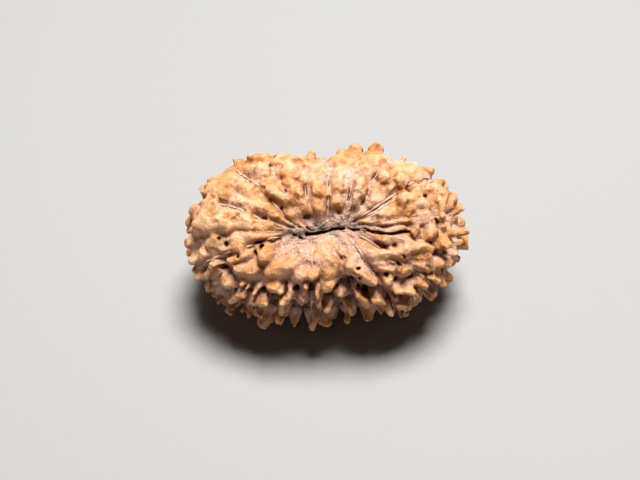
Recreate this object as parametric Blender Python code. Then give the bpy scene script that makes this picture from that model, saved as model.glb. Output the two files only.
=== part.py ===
"""Rudraksha seed, the knobbed woody stone of the fruit, lying rolled forward on its side.

One solid. Eighteen sutures run from the long slit at the near pole to the small pore at the far pole.
The ribs between them carry knobs, with pits in among them. Units are metres, Z is up, X runs along the
seed, and the origin is on the resting surface, under the middle of the seed.
"""

import math

import bmesh
import bpy
import numpy as np
from mathutils import Matrix, Vector
from mathutils.geometry import delaunay_2d_cdt

MM = 0.001
NODE_NAME = "rudraksha_seed"
SEED_FOR_DRAWS = 18

# Bare body in its own frame: X along, Y across, Z from the far pore to the near slit
HALF_LENGTH = 14.6 * MM
HALF_WIDTH = 8.9 * MM
HALF_HEIGHT = 7.9 * MM
OUTLINE_POWER = 2.35
PROFILE_POWER = 2.2

# Where the seed is drawn in at its middle, a little left of it on one side and right of it on the other
WAIST_DEPTH = 0.6 * MM
WAIST_SPREAD = 2.6 * MM
WAIST_MIDDLE = 0.65 * MM
WAIST_SKEW = -1.35 * MM

# Sutures, as azimuths round the near pole from the seed's right-hand end, and the depth of each one's cut
SUTURES = (
    (0, 0.9), (7, 0.2), (26, 0.35), (45, 0.25), (62, 0.25), (84, 0.25), (107, 0.25), (128, 0.25),
    (143, 0.3), (162.5, 0.3), (180, 0.2), (196, 0.8), (217, 0.3), (238, 0.25), (266, 0.25), (293, 0.25),
    (315, 0.25), (336, 0.35),
)
CUT_REACH = 8.5 * MM
CUT_HALF_WIDTH = 0.35 * MM
CUT_LEAST = 0.35
RIB_RELIEF = 0.45 * MM
POLE_RIDGE = 0.5 * MM
POLE_RIDGE_REACH = (0.7 * MM, 5.0 * MM)
CREST_POWER = 0.7

# How strongly each rib stands out near the slit, from the first suture on, and near the far pore
RIB_SHARES = (0.4, 0.6, 0.5, 0.8, 1.0, 1.0, 1.0, 0.8, 0.6, 0.15, 0.25, 0.5, 0.4, 0.35, 0.35, 0.45, 0.5, 0.5)
FAR_SHARE = 0.7
FAR_CHANGE = 4.0 * MM

# Poles: the long torn slit that shows, and the small pore behind
SLIT_HALF_LENGTH = 3.2 * MM
SLIT_REACH = 0.32 * MM
SLIT_DEPTH = 1.8 * MM
SLIT_TURN = math.radians(11)
SLIT_OFFSET = -0.45 * MM
PORE_HALF_LENGTH = 1.2 * MM
PORE_DEPTH = 1.3 * MM
DIMPLE_DEPTH = 1.2 * MM
DIMPLE_REACH = 3.2 * MM

# How the seed is seen: the near pole tips this far from the line of sight, and the seed is spun a little
SEEN_TILT = math.radians(7)
SEEN_SPIN = math.radians(2)
EYE_DISTANCE = 110 * MM
EYE_ELEVATION = math.radians(50)
SIGHT_EDGE = -0.05
EDGE_REACH = 0.3
EDGE_SHARE = 0.35
ROUND_END = 0.45
SIGHT_ROUNDS = 60
SIGHT_STEP = 0.7

# Knobs on the side seen, in millimetres right and up of the middle: the round end, foot radius, height
SEEN_KNOBS = (
    (-13.6, 5.6, 1.0, 1.3), (-10.2, 8.2, 1.35, 1.4), (-5.6, 8.3, 0.8, 0.9), (-4.1, 8.5, 1.0, 1.1),
    (-2.9, 8.8, 0.7, 1.1), (-1.6, 9.2, 0.85, 1.6), (-8.2, 7.6, 1.0, 1.1), (-10.2, 6.7, 1.0, 0.9),
    (-8.6, 5.4, 1.0, 1.0), (-8.6, 3.1, 0.5, 0.6), (-7.0, 3.3, 0.95, 1.0), (-7.0, 5.8, 0.65, 0.7),
    (-0.8, 2.9, 0.5, 0.6), (-2.5, 7.7, 0.6, 0.6), (-6.3, 8.3, 0.8, 0.6), (-6.6, 6.9, 0.8, 0.5),
    (-11.3, 5.4, 0.8, 0.5), (-0.4, 7.2, 0.6, 0.5), (0.6, 8.7, 0.8, 0.8), (1.6, 9.5, 0.85, 1.3),
    (3.4, 9.45, 0.8, 1.2), (4.7, 9.2, 0.7, 0.8), (5.7, 10.0, 1.5, 1.9), (7.2, 8.9, 0.8, 0.7),
    (8.9, 9.1, 0.42, 1.1), (9.8, 8.2, 1.0, 0.9), (11.5, 7.4, 0.85, 1.0), (12.9, 6.2, 0.8, 1.1),
    (14.1, 4.4, 1.1, 1.0), (14.8, 2.9, 0.8, 1.2), (14.5, 2.1, 0.5, 0.6), (15.5, 0.6, 0.9, 1.4),
    (1.4, 6.7, 0.55, 0.7), (1.7, 5.7, 0.8, 1.0), (1.2, 3.7, 0.6, 0.8), (3.2, 3.6, 0.55, 0.6),
    (8.1, 5.9, 0.9, 0.5), (10.2, 6.3, 0.8, 0.7), (9.9, 5.1, 0.7, 0.6), (11.6, 5.6, 0.9, 1.0),
    (13.8, 3.4, 0.6, 0.6), (9.8, 0.7, 0.9, 0.9), (11.9, 0.6, 1.0, 1.0), (13.3, 1.2, 0.6, 0.8),
    (14.2, 0.6, 0.8, 1.1), (5.1, 7.9, 0.7, 0.5), (6.4, 6.3, 0.8, 0.4), (3.2, 8.0, 0.6, 0.6),
    (1.6, 8.1, 0.6, 0.6), (-15.6, -0.3, 1.2, 1.6), (-15.1, -2.5, 1.1, 1.3), (-13.7, -2.1, 0.9, 0.9),
    (-14.4, -4.5, 0.8, 1.3), (-11.1, -5.2, 1.1, 1.2), (-6.75, -2.2, 1.05, 1.1), (-2.9, -4.5, 0.8, 1.0),
    (-1.8, -4.4, 0.8, 1.0), (-6.2, -5.6, 0.9, 1.0), (-7.9, -6.1, 0.75, 1.1), (-8.7, -5.5, 0.5, 0.7),
    (-10.8, -8.7, 0.85, 1.6), (-13.3, -5.8, 0.8, 0.7), (-8.7, -9.3, 0.75, 1.7), (-5.1, -9.2, 0.65, 1.4),
    (-3.5, -10.0, 0.7, 1.5), (-1.2, -9.3, 0.6, 1.0), (-1.3, -10.1, 0.7, 1.7), (0.3, -5.4, 1.0, 1.2),
    (1.7, -6.6, 0.85, 0.9), (0.1, -8.2, 0.75, 1.3), (0.3, -9.8, 0.6, 1.4), (5.8, -7.0, 0.9, 1.1),
    (7.0, -8.4, 0.8, 1.4), (7.5, -6.9, 0.35, 0.7), (9.0, -8.7, 0.7, 1.5), (6.9, -4.9, 0.9, 1.0),
    (8.9, -3.8, 0.8, 1.0), (10.6, -5.3, 0.85, 1.1), (11.8, -6.2, 0.7, 0.8), (4.5, -0.6, 0.5, 0.4),
    (13.4, -0.7, 0.95, 1.5), (15.0, -0.9, 0.8, 1.0), (12.6, -3.0, 0.8, 0.8), (13.5, -2.7, 0.9, 0.8),
    (13.2, -5.0, 0.85, 1.1), (4.5, -9.1, 0.8, 1.5), (14.4, -1.8, 0.7, 0.8),
)

# Knobs drawn out into short ridges, in the same way: both ends, foot radius, height
SEEN_RIDGES = (
    (-15.0, 2.7, -14.3, 3.5, 1.1, 1.2), (-8.4, 8.8, -7.0, 8.9, 1.2, 1.6),
    (-12.7, 6.1, -10.9, 7.5, 1.2, 1.2), (-12.3, 4.7, -10.3, 4.0, 0.7, 0.7),
    (-13.5, 3.6, -12.5, 3.2, 0.8, 0.9), (-11.0, 2.7, -8.9, 2.3, 0.7, 0.7),
    (-6.3, 5.1, -4.7, 4.1, 1.0, 1.2), (-4.5, 6.9, -3.1, 6.7, 0.8, 1.1), (-3.1, 5.0, -2.3, 3.1, 0.7, 1.0),
    (-3.6, 2.5, -2.9, 1.8, 0.5, 0.4), (-1.0, 6.2, -0.8, 4.9, 0.8, 1.0), (4.3, 7.0, 3.7, 5.3, 0.75, 1.1),
    (5.1, 3.8, 6.4, 4.1, 0.6, 0.6), (8.7, 4.3, 10.9, 3.5, 0.8, 0.9), (7.4, 7.3, 9.1, 7.5, 0.8, 0.6),
    (12.6, 4.1, 12.9, 2.7, 0.9, 1.2), (9.3, 2.4, 11.3, 2.3, 0.8, 0.7), (6.2, 2.2, 7.5, 2.6, 0.5, 0.4),
    (4.2, 1.4, 7.5, 1.2, 0.5, 0.5), (-12.6, -3.2, -13.1, -4.3, 0.8, 1.2),
    (-12.6, -0.9, -9.6, -1.4, 0.8, 0.8), (-10.9, -2.6, -9.0, -2.1, 0.5, 0.7),
    (-9.6, -3.7, -8.0, -3.9, 1.0, 0.8), (-6.4, -4.0, -4.2, -3.1, 1.0, 0.8),
    (-5.2, -2.2, -3.3, -1.5, 0.5, 0.4), (-2.6, -5.8, -2.6, -7.6, 0.55, 1.0),
    (-3.9, -6.1, -4.1, -7.2, 0.5, 0.9), (-1.2, -6.2, -1.1, -7.8, 0.55, 1.0),
    (-8.4, -7.5, -6.8, -7.1, 0.7, 1.1), (-9.4, -6.5, -10.8, -7.2, 0.75, 1.1),
    (-12.7, -6.6, -11.8, -8.2, 0.6, 0.9), (-7.0, -9.6, -6.5, -10.0, 0.8, 1.7),
    (-4.95, -7.3, -5.0, -8.3, 0.6, 1.3), (-7.4, -8.3, -7.0, -9.2, 0.6, 0.9),
    (0.3, -2.6, 0.3, -4.2, 0.8, 0.8), (1.8, -1.6, 2.7, -2.4, 0.6, 0.6), (2.6, -3.5, 5.2, -5.2, 0.9, 1.1),
    (3.5, -6.5, 4.4, -7.6, 0.65, 1.1), (8.1, -7.8, 9.2, -7.9, 0.8, 1.1), (7.7, -5.9, 9.7, -5.8, 0.8, 1.0),
    (4.9, -1.6, 8.3, -2.0, 0.7, 0.7), (8.6, -1.6, 11.3, -1.3, 0.8, 0.9),
    (11.2, -2.2, 11.8, -3.6, 0.6, 0.9), (5.6, 0.1, 7.0, -0.1, 0.6, 0.6), (8.6, -0.2, 9.1, -1.0, 0.7, 0.7),
    (11.9, -4.4, 12.6, -4.8, 0.6, 0.9),
)

# Pits in among them: place, radius, depth
SEEN_PITS = (
    (-12.9, 5.3, 0.35, 0.6), (-3.8, 5.8, 0.45, 0.5), (-14.0, 2.5, 0.5, 0.6), (-12.1, 2.5, 0.4, 0.6),
    (-4.9, 3.1, 0.5, 0.6), (-2.2, 2.5, 0.4, 0.5), (1.3, 2.8, 0.45, 0.7), (-11.9, -0.3, 0.45, 0.7),
    (-10.9, -0.7, 0.45, 0.8), (-14.9, -1.4, 0.5, 0.8), (-7.9, -1.9, 0.5, 1.3), (-7.2, -1.2, 0.4, 1.0),
    (-9.6, -2.1, 0.3, 0.9), (-11.7, -3.5, 0.6, 1.3), (-7.1, -6.1, 0.5, 1.3), (-3.4, -5.9, 0.5, 1.3),
    (-1.75, -5.8, 0.5, 1.3), (0.1, -6.9, 0.5, 1.3), (1.5, -5.4, 0.45, 1.2), (4.4, -6.4, 0.65, 1.3),
    (3.6, -5.9, 0.4, 1.1), (3.9, -4.5, 0.3, 0.5), (7.9, -5.0, 0.45, 1.0), (9.7, -4.7, 0.4, 1.0),
    (6.8, -4.1, 0.35, 0.6), (13.2, -3.8, 0.4, 1.1), (12.3, -1.7, 0.6, 0.8), (13.6, -1.9, 0.5, 0.9),
    (14.6, 0.0, 0.4, 0.8), (-5.8, -8.0, 0.6, 1.2), (-8.4, -8.4, 0.6, 1.2), (-9.6, -8.0, 0.5, 1.1),
    (8.6, -6.8, 0.6, 1.1), (12.2, 1.9, 0.5, 0.6), (10.0, 7.2, 0.4, 0.6), (15.2, 0.4, 0.3, 0.5),
    (-2.0, -8.6, 0.5, 1.0), (2.9, -7.6, 0.5, 1.1), (-10.3, -5.9, 0.4, 0.8), (8.1, -2.9, 0.4, 0.7),
)

# The other knobs stand in rows along the ribs
ROW_PITCH = 2.1 * MM
ROW_STEP = 2.05 * MM
ROW_STEP_SPREAD = (0.92, 1.08)
FIRST_KNOB_REACH = (2.6 * MM, 4.4 * MM)
LAST_KNOB_REACH = (2.1 * MM, 3.5 * MM)
KNOB_FOOT = (0.78 * MM, 1.05 * MM)
KNOB_HEIGHT = (0.95 * MM, 1.65 * MM)
KNOB_GROWTH_REACH = 0.6 * HALF_LENGTH
KNOB_NUDGE = 0.16 * MM
KNOB_CROWDING = 0.84
KNOB_LEAN = 0.16
KNOB_POLE_SHARE = 0.55
KNOB_BLUNTNESS = 2.8
RIB_UNDER_KNOB = 0.4
PIT_CHANCE = 0.55
PIT_RADIUS = 0.5 * MM
PIT_DEPTH = (0.6 * MM, 1.1 * MM)
PIT_START = (5.0 * MM, 6.0 * MM)
PIT_END = 3.5 * MM
PIT_SPACING = 2.0 * MM
PIT_CLEARANCE = 0.75
SEEN_PIT_LIFT = 0.3 * MM

# Mesh: spacing of its corners
LINE_SAMPLES = 161
HALVINGS = 40
SUTURE_GAP = 0.7 * MM
TOP_GAP = 0.3 * MM
SHOULDER_GAP = 0.28 * MM
FOOT_GAP = 0.36 * MM
FILL_GAP = 0.44 * MM
EQUATOR_GAP = 0.5 * MM
EQUATOR_SNAP = 0.28 * MM
EQUATOR_SAMPLES = 2000
FILL_LINES = 96
SHOULDER_SIDES = 6
SHOULDER_SHARE = 0.54
SHOULDER_PHASE = 0.25
FOOT_SIDES = 6
FOOT_PHASE = 0.6
PIT_SIDES = 4
RIDGE_STEP = 0.5 * MM
RIDGE_CORNERS = 10
RING_LINES = 40
RING_STEP = 0.35 * MM

# How much of the lowest knobs is worn flat
WORN_DEPTH = 0.85 * MM

WOOD_COLOUR = (0.55, 0.29, 0.13, 1.0)
WOOD_ROUGHNESS = 0.55


def ring_size(x, y):
    """How far out a place lies in the seed's outline: 0 on the axis and 1 on the equator."""
    along = np.abs(x / HALF_LENGTH) ** OUTLINE_POWER
    across = np.abs(y / HALF_WIDTH) ** OUTLINE_POWER
    return (along + across) ** (1 / OUTLINE_POWER)


def onto_body(places):
    """Places moved straight out or in from the seed's middle, to the bare body."""
    x, y, z = places.T
    size = ring_size(x, y) ** PROFILE_POWER + np.abs(z / HALF_HEIGHT) ** PROFILE_POWER
    return places / size[:, None] ** (1 / PROFILE_POWER)


def outward(places):
    """Unit normals of the bare body."""
    x, y, z = places.T
    ring = np.maximum(ring_size(x, y), 1e-6) ** (PROFILE_POWER - OUTLINE_POWER)
    slope_x = ring * np.sign(x) * np.abs(x / HALF_LENGTH) ** (OUTLINE_POWER - 1) / HALF_LENGTH
    slope_y = ring * np.sign(y) * np.abs(y / HALF_WIDTH) ** (OUTLINE_POWER - 1) / HALF_WIDTH
    slope_z = np.sign(z) * np.abs(z / HALF_HEIGHT) ** (PROFILE_POWER - 1) / HALF_HEIGHT
    slopes = np.stack([slope_x, slope_y, slope_z], axis=1)
    return slopes / np.linalg.norm(slopes, axis=1)[:, None]


def pole_line(nearness):
    """Half length, turn and offset of the slit that the azimuths go round, at a height on the axis."""
    share = 0.5 + 0.5 * np.clip(nearness, -1, 1)
    half = PORE_HALF_LENGTH + (SLIT_HALF_LENGTH - PORE_HALF_LENGTH) * share
    return half, SLIT_TURN * share, SLIT_OFFSET * share


def round_slit(places):
    """Azimuth round the slit, and reach from it, of places on the body: both spread out like ripples."""
    x, y, z = places.T
    half, turn, offset = pole_line(z / HALF_HEIGHT)
    flat = (x - offset + 1j * y * HALF_LENGTH / HALF_WIDTH) * np.exp(-1j * turn)
    spread = (flat + np.sqrt(flat - half) * np.sqrt(flat + half)) / 2
    return np.angle(spread) + turn, np.abs(spread) - half / 2


def meridians(azimuths):
    """Lines on the bare body from the slit to the pore: an array of lines by samples by 3."""
    angle = np.linspace(0, math.pi, LINE_SAMPLES)[None, :]
    ring = np.sin(angle) ** (2 / PROFILE_POWER)
    height = np.sign(np.cos(angle)) * np.abs(np.cos(angle)) ** (2 / PROFILE_POWER)
    half, turn, offset = pole_line(height)
    spin = np.exp(1j * (np.asarray(azimuths)[:, None] - turn))
    low = np.broadcast_to(half / 2, spin.shape).copy()
    high = np.full(spin.shape, HALF_LENGTH + SLIT_HALF_LENGTH)
    for _ in range(HALVINGS):
        middle = (low + high) / 2
        flat = (middle * spin + half ** 2 / (4 * middle * spin)) * np.exp(1j * turn)
        x = flat.real + offset
        y = flat.imag * HALF_WIDTH / HALF_LENGTH
        inside = ring_size(x, y) < ring
        low = np.where(inside, middle, low)
        high = np.where(inside, high, middle)
    ring_found = np.minimum(ring_size(x, y), 1)
    on_slit = ring_found > ring + 1e-6
    sunk_height = np.sign(height) * (1 - ring_found ** PROFILE_POWER) ** (1 / PROFILE_POWER)
    z = HALF_HEIGHT * np.where(on_slit, sunk_height, height)
    return np.stack([x, y, z], axis=2)


def suture_azimuths():
    """The sutures' azimuths round the slit, from those seen on the outline, in radians."""
    seen = np.radians([azimuth for azimuth, _ in SUTURES])
    return np.unwrap(np.arctan2(np.sin(seen) / HALF_WIDTH, np.cos(seen) / HALF_LENGTH))


def spaced(line, step, start, end):
    """Places along a line, a step apart, from a start length to that much before its end."""
    lengths = np.concatenate([[0], np.cumsum(np.linalg.norm(np.diff(line, axis=0), axis=1))])
    count = max(2, round((lengths[-1] - start - end) / step) + 1)
    wanted = np.linspace(start, lengths[-1] - end, count)
    return np.stack([np.interp(wanted, lengths, line[:, k]) for k in range(3)], axis=1)


def settled(places):
    """Places drawn in at the waist, sunk at the poles and cut by the slit and the pore."""
    x, y, z = places.T
    base = onto_body(places)
    _, reach = round_slit(base)
    near = base[:, 2] > 0
    middle = WAIST_MIDDLE + WAIST_SKEW * np.clip(y / HALF_WIDTH, -1, 1)
    waist = WAIST_DEPTH / HALF_WIDTH * np.exp(-(((x - middle) / WAIST_SPREAD) ** 2))
    slit_depth = np.where(near, SLIT_DEPTH, PORE_DEPTH)
    sink = DIMPLE_DEPTH * np.exp(-((reach / DIMPLE_REACH) ** 2))
    sink += slit_depth * np.exp(-((reach / SLIT_REACH) ** 2))
    return np.stack([x, y * (1 - waist), z - np.where(near, 1, -1) * sink], axis=1)


def sight_axes():
    """Right, up and towards the viewer, in the seed's own frame."""
    right = np.array([math.cos(SEEN_SPIN), -math.sin(SEEN_SPIN) * math.cos(SEEN_TILT), 0.0])
    right[2] = -math.sin(SEEN_SPIN) * math.sin(SEEN_TILT)
    towards = np.array([0.0, -math.sin(SEEN_TILT), math.cos(SEEN_TILT)])
    return right, np.cross(towards, right), towards


def found_from_sight(seen, height):
    """Places on the bare body over which what stands at a height shows at the seen places."""
    right, up, towards = sight_axes()
    wanted = np.asarray(seen) * MM
    places = onto_body(wanted[:, :1] * right + wanted[:, 1:] * up + HALF_HEIGHT / 2 * towards)
    for _ in range(SIGHT_ROUNDS):
        tips = settled(places + outward(places) * height[:, None])
        nearer = 1 - (tips @ towards) / EYE_DISTANCE
        miss = wanted * nearer[:, None] - np.stack([tips @ right, tips @ up], axis=1)
        places = onto_body(places + SIGHT_STEP * (miss[:, :1] * right + miss[:, 1:] * up))
    return places


def facing(places):
    """Cosine of the angle between the body's normal and the line of sight: 0 on the outline."""
    towards = sight_axes()[2] * EYE_DISTANCE - places
    return (outward(places) * towards).sum(axis=1) / np.linalg.norm(towards, axis=1)


def gap_to(places, starts, ends):
    """Distances from each place to each of the short lines between starts and ends."""
    run = ends - starts
    square = np.maximum((run ** 2).sum(axis=1), 1e-12)
    share = np.einsum("ijk,jk->ij", places[:, None, :] - starts[None], run) / square
    nearest = starts[None] + np.clip(share, 0, 1)[:, :, None] * run[None]
    return np.linalg.norm(places[:, None, :] - nearest, axis=2)


def leaning(draw, place):
    """A small random slant along the body at a place."""
    slant = draw.normal(0, KNOB_LEAN / 2, 3)
    normal = outward(place[None])[0]
    slant -= normal * (slant @ normal)
    return slant * min(1, KNOB_LEAN / max(np.linalg.norm(slant), 1e-9))


def seen_knobs(draw):
    """The knobs and ridges on the side seen: rows of start, end, slant, foot radius and height."""
    knobs = np.array([(u, v, u, v, foot, height) for u, v, foot, height in SEEN_KNOBS] + list(SEEN_RIDGES))
    height = knobs[:, 5] * MM
    to_end = height - ROUND_END * knobs[:, 4] * MM
    starts = found_from_sight(knobs[:, :2], to_end)
    ends = found_from_sight(knobs[:, 2:4], to_end)
    slants = np.array([leaning(draw, place) for place in starts])
    return np.column_stack([starts, ends, slants, knobs[:, 4] * MM, height])


def rows_between(azimuths):
    """Azimuths of the rows of knobs on each rib, with the rib's width at the equator shared among them."""
    bounds = np.append(azimuths, azimuths[0] + 2 * math.pi)
    at_equator = meridians(bounds)[:, LINE_SAMPLES // 2]
    rows = []
    for low, high, width in zip(bounds, bounds[1:], np.linalg.norm(np.diff(at_equator, axis=0), axis=1)):
        count = max(1, round(width / ROW_PITCH))
        rows += [low + (high - low) * (k + 0.5) / count for k in range(count)]
    return np.array(rows)


def ruled_knobs(draw, rows, knobs):
    """Knobs placed along the rows wherever there is room out of sight, added to those given."""
    for number, line in enumerate(meridians(rows)):
        start = draw.uniform(*FIRST_KNOB_REACH) + 0.5 * ROW_STEP * (number % 2)
        end = draw.uniform(*LAST_KNOB_REACH)
        for place in spaced(line, ROW_STEP * draw.uniform(*ROW_STEP_SPREAD), start, end):
            nudge = draw.normal(0, KNOB_NUDGE, 3)
            place = onto_body((place + nudge)[None])[0]
            _, reach = round_slit(place[None])
            growth = KNOB_POLE_SHARE + (1 - KNOB_POLE_SHARE) * min(1, reach[0] / KNOB_GROWTH_REACH)
            foot = draw.uniform(*KNOB_FOOT) * (1 + growth) / 2
            height = draw.uniform(*KNOB_HEIGHT) * growth
            slant = leaning(draw, place)
            past_edge = (SIGHT_EDGE - facing(place[None])[0]) / EDGE_REACH
            height *= EDGE_SHARE + (1 - EDGE_SHARE) * min(1, max(0, past_edge))
            gaps = gap_to(place[None], knobs[:, :3], knobs[:, 3:6])[0]
            if past_edge > 0 and (gaps > KNOB_CROWDING * (foot + knobs[:, 9])).all():
                knobs = np.vstack([knobs, [*place, *place, *slant, foot, height]])
    return knobs


def all_pits(draw, rows, knobs):
    """Pits as rows of place, radius and depth: those seen, then others out of sight between the rows."""
    seen = np.array(SEEN_PITS)
    seen_places = found_from_sight(seen[:, :2], np.full(len(seen), SEEN_PIT_LIFT))
    pits = np.column_stack([seen_places, seen[:, 2:] * MM])
    between = (rows + np.roll(rows, -1)) / 2
    between[-1] += math.pi
    for line in meridians(between):
        for place in spaced(line, ROW_STEP, draw.uniform(*PIT_START), PIT_END):
            depth = draw.uniform(*PIT_DEPTH)
            chosen = draw.uniform() < PIT_CHANCE
            clear = gap_to(place[None], knobs[:, :3], knobs[:, 3:6])[0] > PIT_CLEARANCE * knobs[:, 9]
            alone = np.linalg.norm(pits[:, :3] - place, axis=1) > PIT_SPACING
            if chosen and clear.all() and alone.all() and facing(place[None])[0] < SIGHT_EDGE:
                pits = np.vstack([pits, [*place, PIT_RADIUS, depth]])
    return pits


def crest(share):
    """Smooth rise from 0 at both edges of a strip to 1 along its middle."""
    return np.sin(math.pi * np.clip(share, 0, 1)) ** CREST_POWER


def rib_relief(places, azimuths):
    """Height of the ribs, which run out from the slit as ridges, and of the sutures' cuts between them."""
    turn, reach = round_slit(places)
    turn = azimuths[0] + np.mod(turn - azimuths[0], 2 * math.pi)
    bounds = np.append(azimuths, azimuths[0] + 2 * math.pi)
    rib = np.clip(np.searchsorted(bounds, turn, side="right") - 1, 0, len(azimuths) - 1)
    middles = (bounds[:-1] + bounds[1:]) / 2
    strength = np.interp(turn, middles, RIB_SHARES, period=2 * math.pi)
    far = np.clip(0.5 - places[:, 2] / FAR_CHANGE, 0, 1)
    strength = strength + (FAR_SHARE - strength) * far
    rise = crest((turn - bounds[rib]) / (bounds[rib + 1] - bounds[rib])) - 0.5
    inner, outer = POLE_RIDGE_REACH
    window = np.clip(reach / inner, 0, 1) * np.clip(2 - reach / outer, 0, 1)
    fade = np.clip(reach / outer, 0, 1)
    height = rise * (POLE_RIDGE * strength * window + RIB_RELIEF * (1 + strength) / 2 * fade)
    cuts = np.array([depth for _, depth in SUTURES] + [SUTURES[0][1]]) * MM
    per_turn = np.maximum(np.abs(reach) * HALF_WIDTH / HALF_LENGTH, CUT_HALF_WIDTH)
    nearest = np.abs(turn[:, None] - bounds[None]).argmin(axis=1)
    away = np.abs(turn - bounds[nearest]) * per_turn
    kept = np.clip(2 - reach / CUT_REACH, CUT_LEAST, 1)
    return height - cuts[nearest] * kept * np.exp(-((away / CUT_HALF_WIDTH) ** 2))


def raised(places, azimuths, knobs, pits):
    """Places on the bare body moved out to the seed's real surface."""
    height = rib_relief(places, azimuths)
    gaps = gap_to(places, knobs[:, :3], knobs[:, 3:6]) / knobs[:, 9]
    domes = knobs[:, 10] * (1 - np.clip(gaps, 0, 1) ** KNOB_BLUNTNESS)
    best = domes.argmax(axis=1)
    dome = domes[np.arange(len(places)), best]
    away = np.linalg.norm(places[:, None, :] - pits[None, :, :3], axis=2) / pits[:, 3]
    hollow = (pits[:, 4] * np.exp(-away ** 2)).max(axis=1)
    total = np.maximum(height, height * RIB_UNDER_KNOB + dome) - hollow
    slant = knobs[best, 6:9] * np.maximum(total, 0)[:, None]
    return settled(places + outward(places) * total[:, None] + slant)


def circle_round(places, radii, sides, phase):
    """Rings of places on the body round each given place."""
    normals = outward(places)
    first = np.cross(normals, [0.31, 0.17, 0.93])
    first /= np.linalg.norm(first, axis=1)[:, None]
    second = np.cross(normals, first)
    rings = []
    for k in range(sides):
        angle = 2 * math.pi * (k + phase) / sides
        step = math.cos(angle) * first + math.sin(angle) * second
        rings.append(onto_body(places + step * radii[:, None]))
    return np.stack(rings, axis=1).reshape(-1, 3)


def level(places):
    """Places near the equator moved onto it."""
    moved = places.copy()
    moved[np.abs(moved[:, 2]) < EQUATOR_SNAP, 2] = 0
    return onto_body(moved)


class Corners:
    """The corners of the seed's mesh on the bare body, none nearer to another than the gap asked for."""

    def __init__(self):
        self.places = np.zeros((0, 3))

    def add(self, places, gap):
        """Adds what has room, near the equator onto it, and gives the number of each corner kept."""
        kept = []
        for place in level(places):
            if len(self.places) and np.linalg.norm(self.places - place, axis=1).min() < gap:
                continue
            kept.append(len(self.places))
            self.places = np.vstack([self.places, place])
        return kept


def lay_corners(azimuths, knobs, pits):
    """Corners at the slit, knobs, pits, sutures and ridges, then wherever there is still room."""
    corners = Corners()
    everywhere = meridians(np.linspace(0, 2 * math.pi, FILL_LINES, endpoint=False))
    tops = np.vstack([knobs[:, :3], (knobs[:, :3] + knobs[:, 3:6]) / 2, knobs[:, 3:6]])
    corners.add(onto_body(tops), TOP_GAP)
    corners.add(onto_body(everywhere[: FILL_LINES // 2, 0]), TOP_GAP)
    corners.add(onto_body(everywhere[: FILL_LINES // 2, -1]), TOP_GAP)
    corners.add(pits[:, :3], TOP_GAP)
    round_it = np.linspace(0, 2 * math.pi, EQUATOR_SAMPLES, endpoint=False)
    equator = meridians(round_it)[:, LINE_SAMPLES // 2]
    equator[:, 2] = 0
    corners.add(onto_body(equator), EQUATOR_GAP)
    edges = []
    for line in meridians(azimuths):
        run = corners.add(onto_body(spaced(line, SUTURE_GAP, SUTURE_GAP, SUTURE_GAP)), SHOULDER_GAP)
        edges += [(a, b) for a, b in zip(run, run[1:]) if b == a + 1]
    ends = np.vstack([knobs[:, :3], knobs[:, 3:6]])
    feet = np.tile(knobs[:, 9], 2)
    corners.add(circle_round(ends, feet * SHOULDER_SHARE, SHOULDER_SIDES, SHOULDER_PHASE), SHOULDER_GAP)
    corners.add(onto_body(pole_rings()), SHOULDER_GAP)
    corners.add(circle_round(ends, feet, FOOT_SIDES, FOOT_PHASE), FOOT_GAP)
    corners.add(circle_round(pits[:, :3], pits[:, 3], PIT_SIDES, 0), FOOT_GAP)
    for line in meridians((azimuths + np.append(azimuths[1:], azimuths[0] + 2 * math.pi)) / 2):
        corners.add(spaced(line, RIDGE_STEP, RIDGE_STEP, RIDGE_STEP)[:RIDGE_CORNERS], FOOT_GAP)
    for line in everywhere:
        corners.add(spaced(line, FILL_GAP, FILL_GAP, FILL_GAP), FILL_GAP)
    return corners.places, edges


def pole_rings():
    """Places on two rings round the slit and one round the pore."""
    lines = meridians(np.linspace(0, 2 * math.pi, RING_LINES, endpoint=False))
    near = [spaced(line, RING_STEP, 0, 0)[1:4:2] for line in lines]
    far = [spaced(line, RING_STEP, 0, 0)[-2:-3:-1] for line in lines[::2]]
    return np.vstack(near + far)


def chart(places):
    """Flat map of one half of the body, from its pole out to the equator."""
    x, y, z = places.T
    ring = np.maximum(ring_size(x, y), 1e-9)
    steepness = np.arctan2(ring ** (PROFILE_POWER / 2), np.abs(z / HALF_HEIGHT) ** (PROFILE_POWER / 2))
    return np.stack([x, y], axis=1) / MM * (steepness / ring / (math.pi / 2))[:, None]


def half_faces(places, edges, side):
    """Triangles over one half of the body, joined along the equator to the other half's."""
    on_equator = np.abs(places[:, 2]) < 1e-9
    chosen = np.flatnonzero(on_equator | (places[:, 2] * side > 0))
    flat = chart(places[chosen])
    number = {corner: k for k, corner in enumerate(chosen)}
    rim = [number[corner] for corner in np.flatnonzero(on_equator)]
    rim.sort(key=lambda k: math.atan2(flat[k][1], flat[k][0]))
    kept = [(number[a], number[b]) for a, b in edges if a in number and b in number]
    points = [Vector(point) for point in flat]
    verts, _, faces, sources, _, _ = delaunay_2d_cdt(points, kept, [rim], 1, 1e-7, True)
    corners = [chosen[source[0]] for source in sources]
    return [tuple(corners[k] for k in face)[::side] for face in faces]


def new_mesh(name, places, faces):
    """A mesh with these corners and faces."""
    mesh = bpy.data.meshes.new(name)
    mesh.from_pydata([tuple(place) for place in places], [], faces)
    mesh.validate()
    return mesh


def stance():
    """Turns the seed's own frame to the way it lies: its near pole leans forward, towards -Y."""
    right, up, towards = sight_axes()
    lie_right = Vector((1, 0, 0))
    lie_towards = Vector((0, -math.cos(EYE_ELEVATION), math.sin(EYE_ELEVATION)))
    lie_up = lie_towards.cross(lie_right)
    own = Matrix([right, up, towards])
    world = Matrix([lie_right, lie_up, lie_towards]).transposed()
    return (world @ own).to_4x4()


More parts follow.
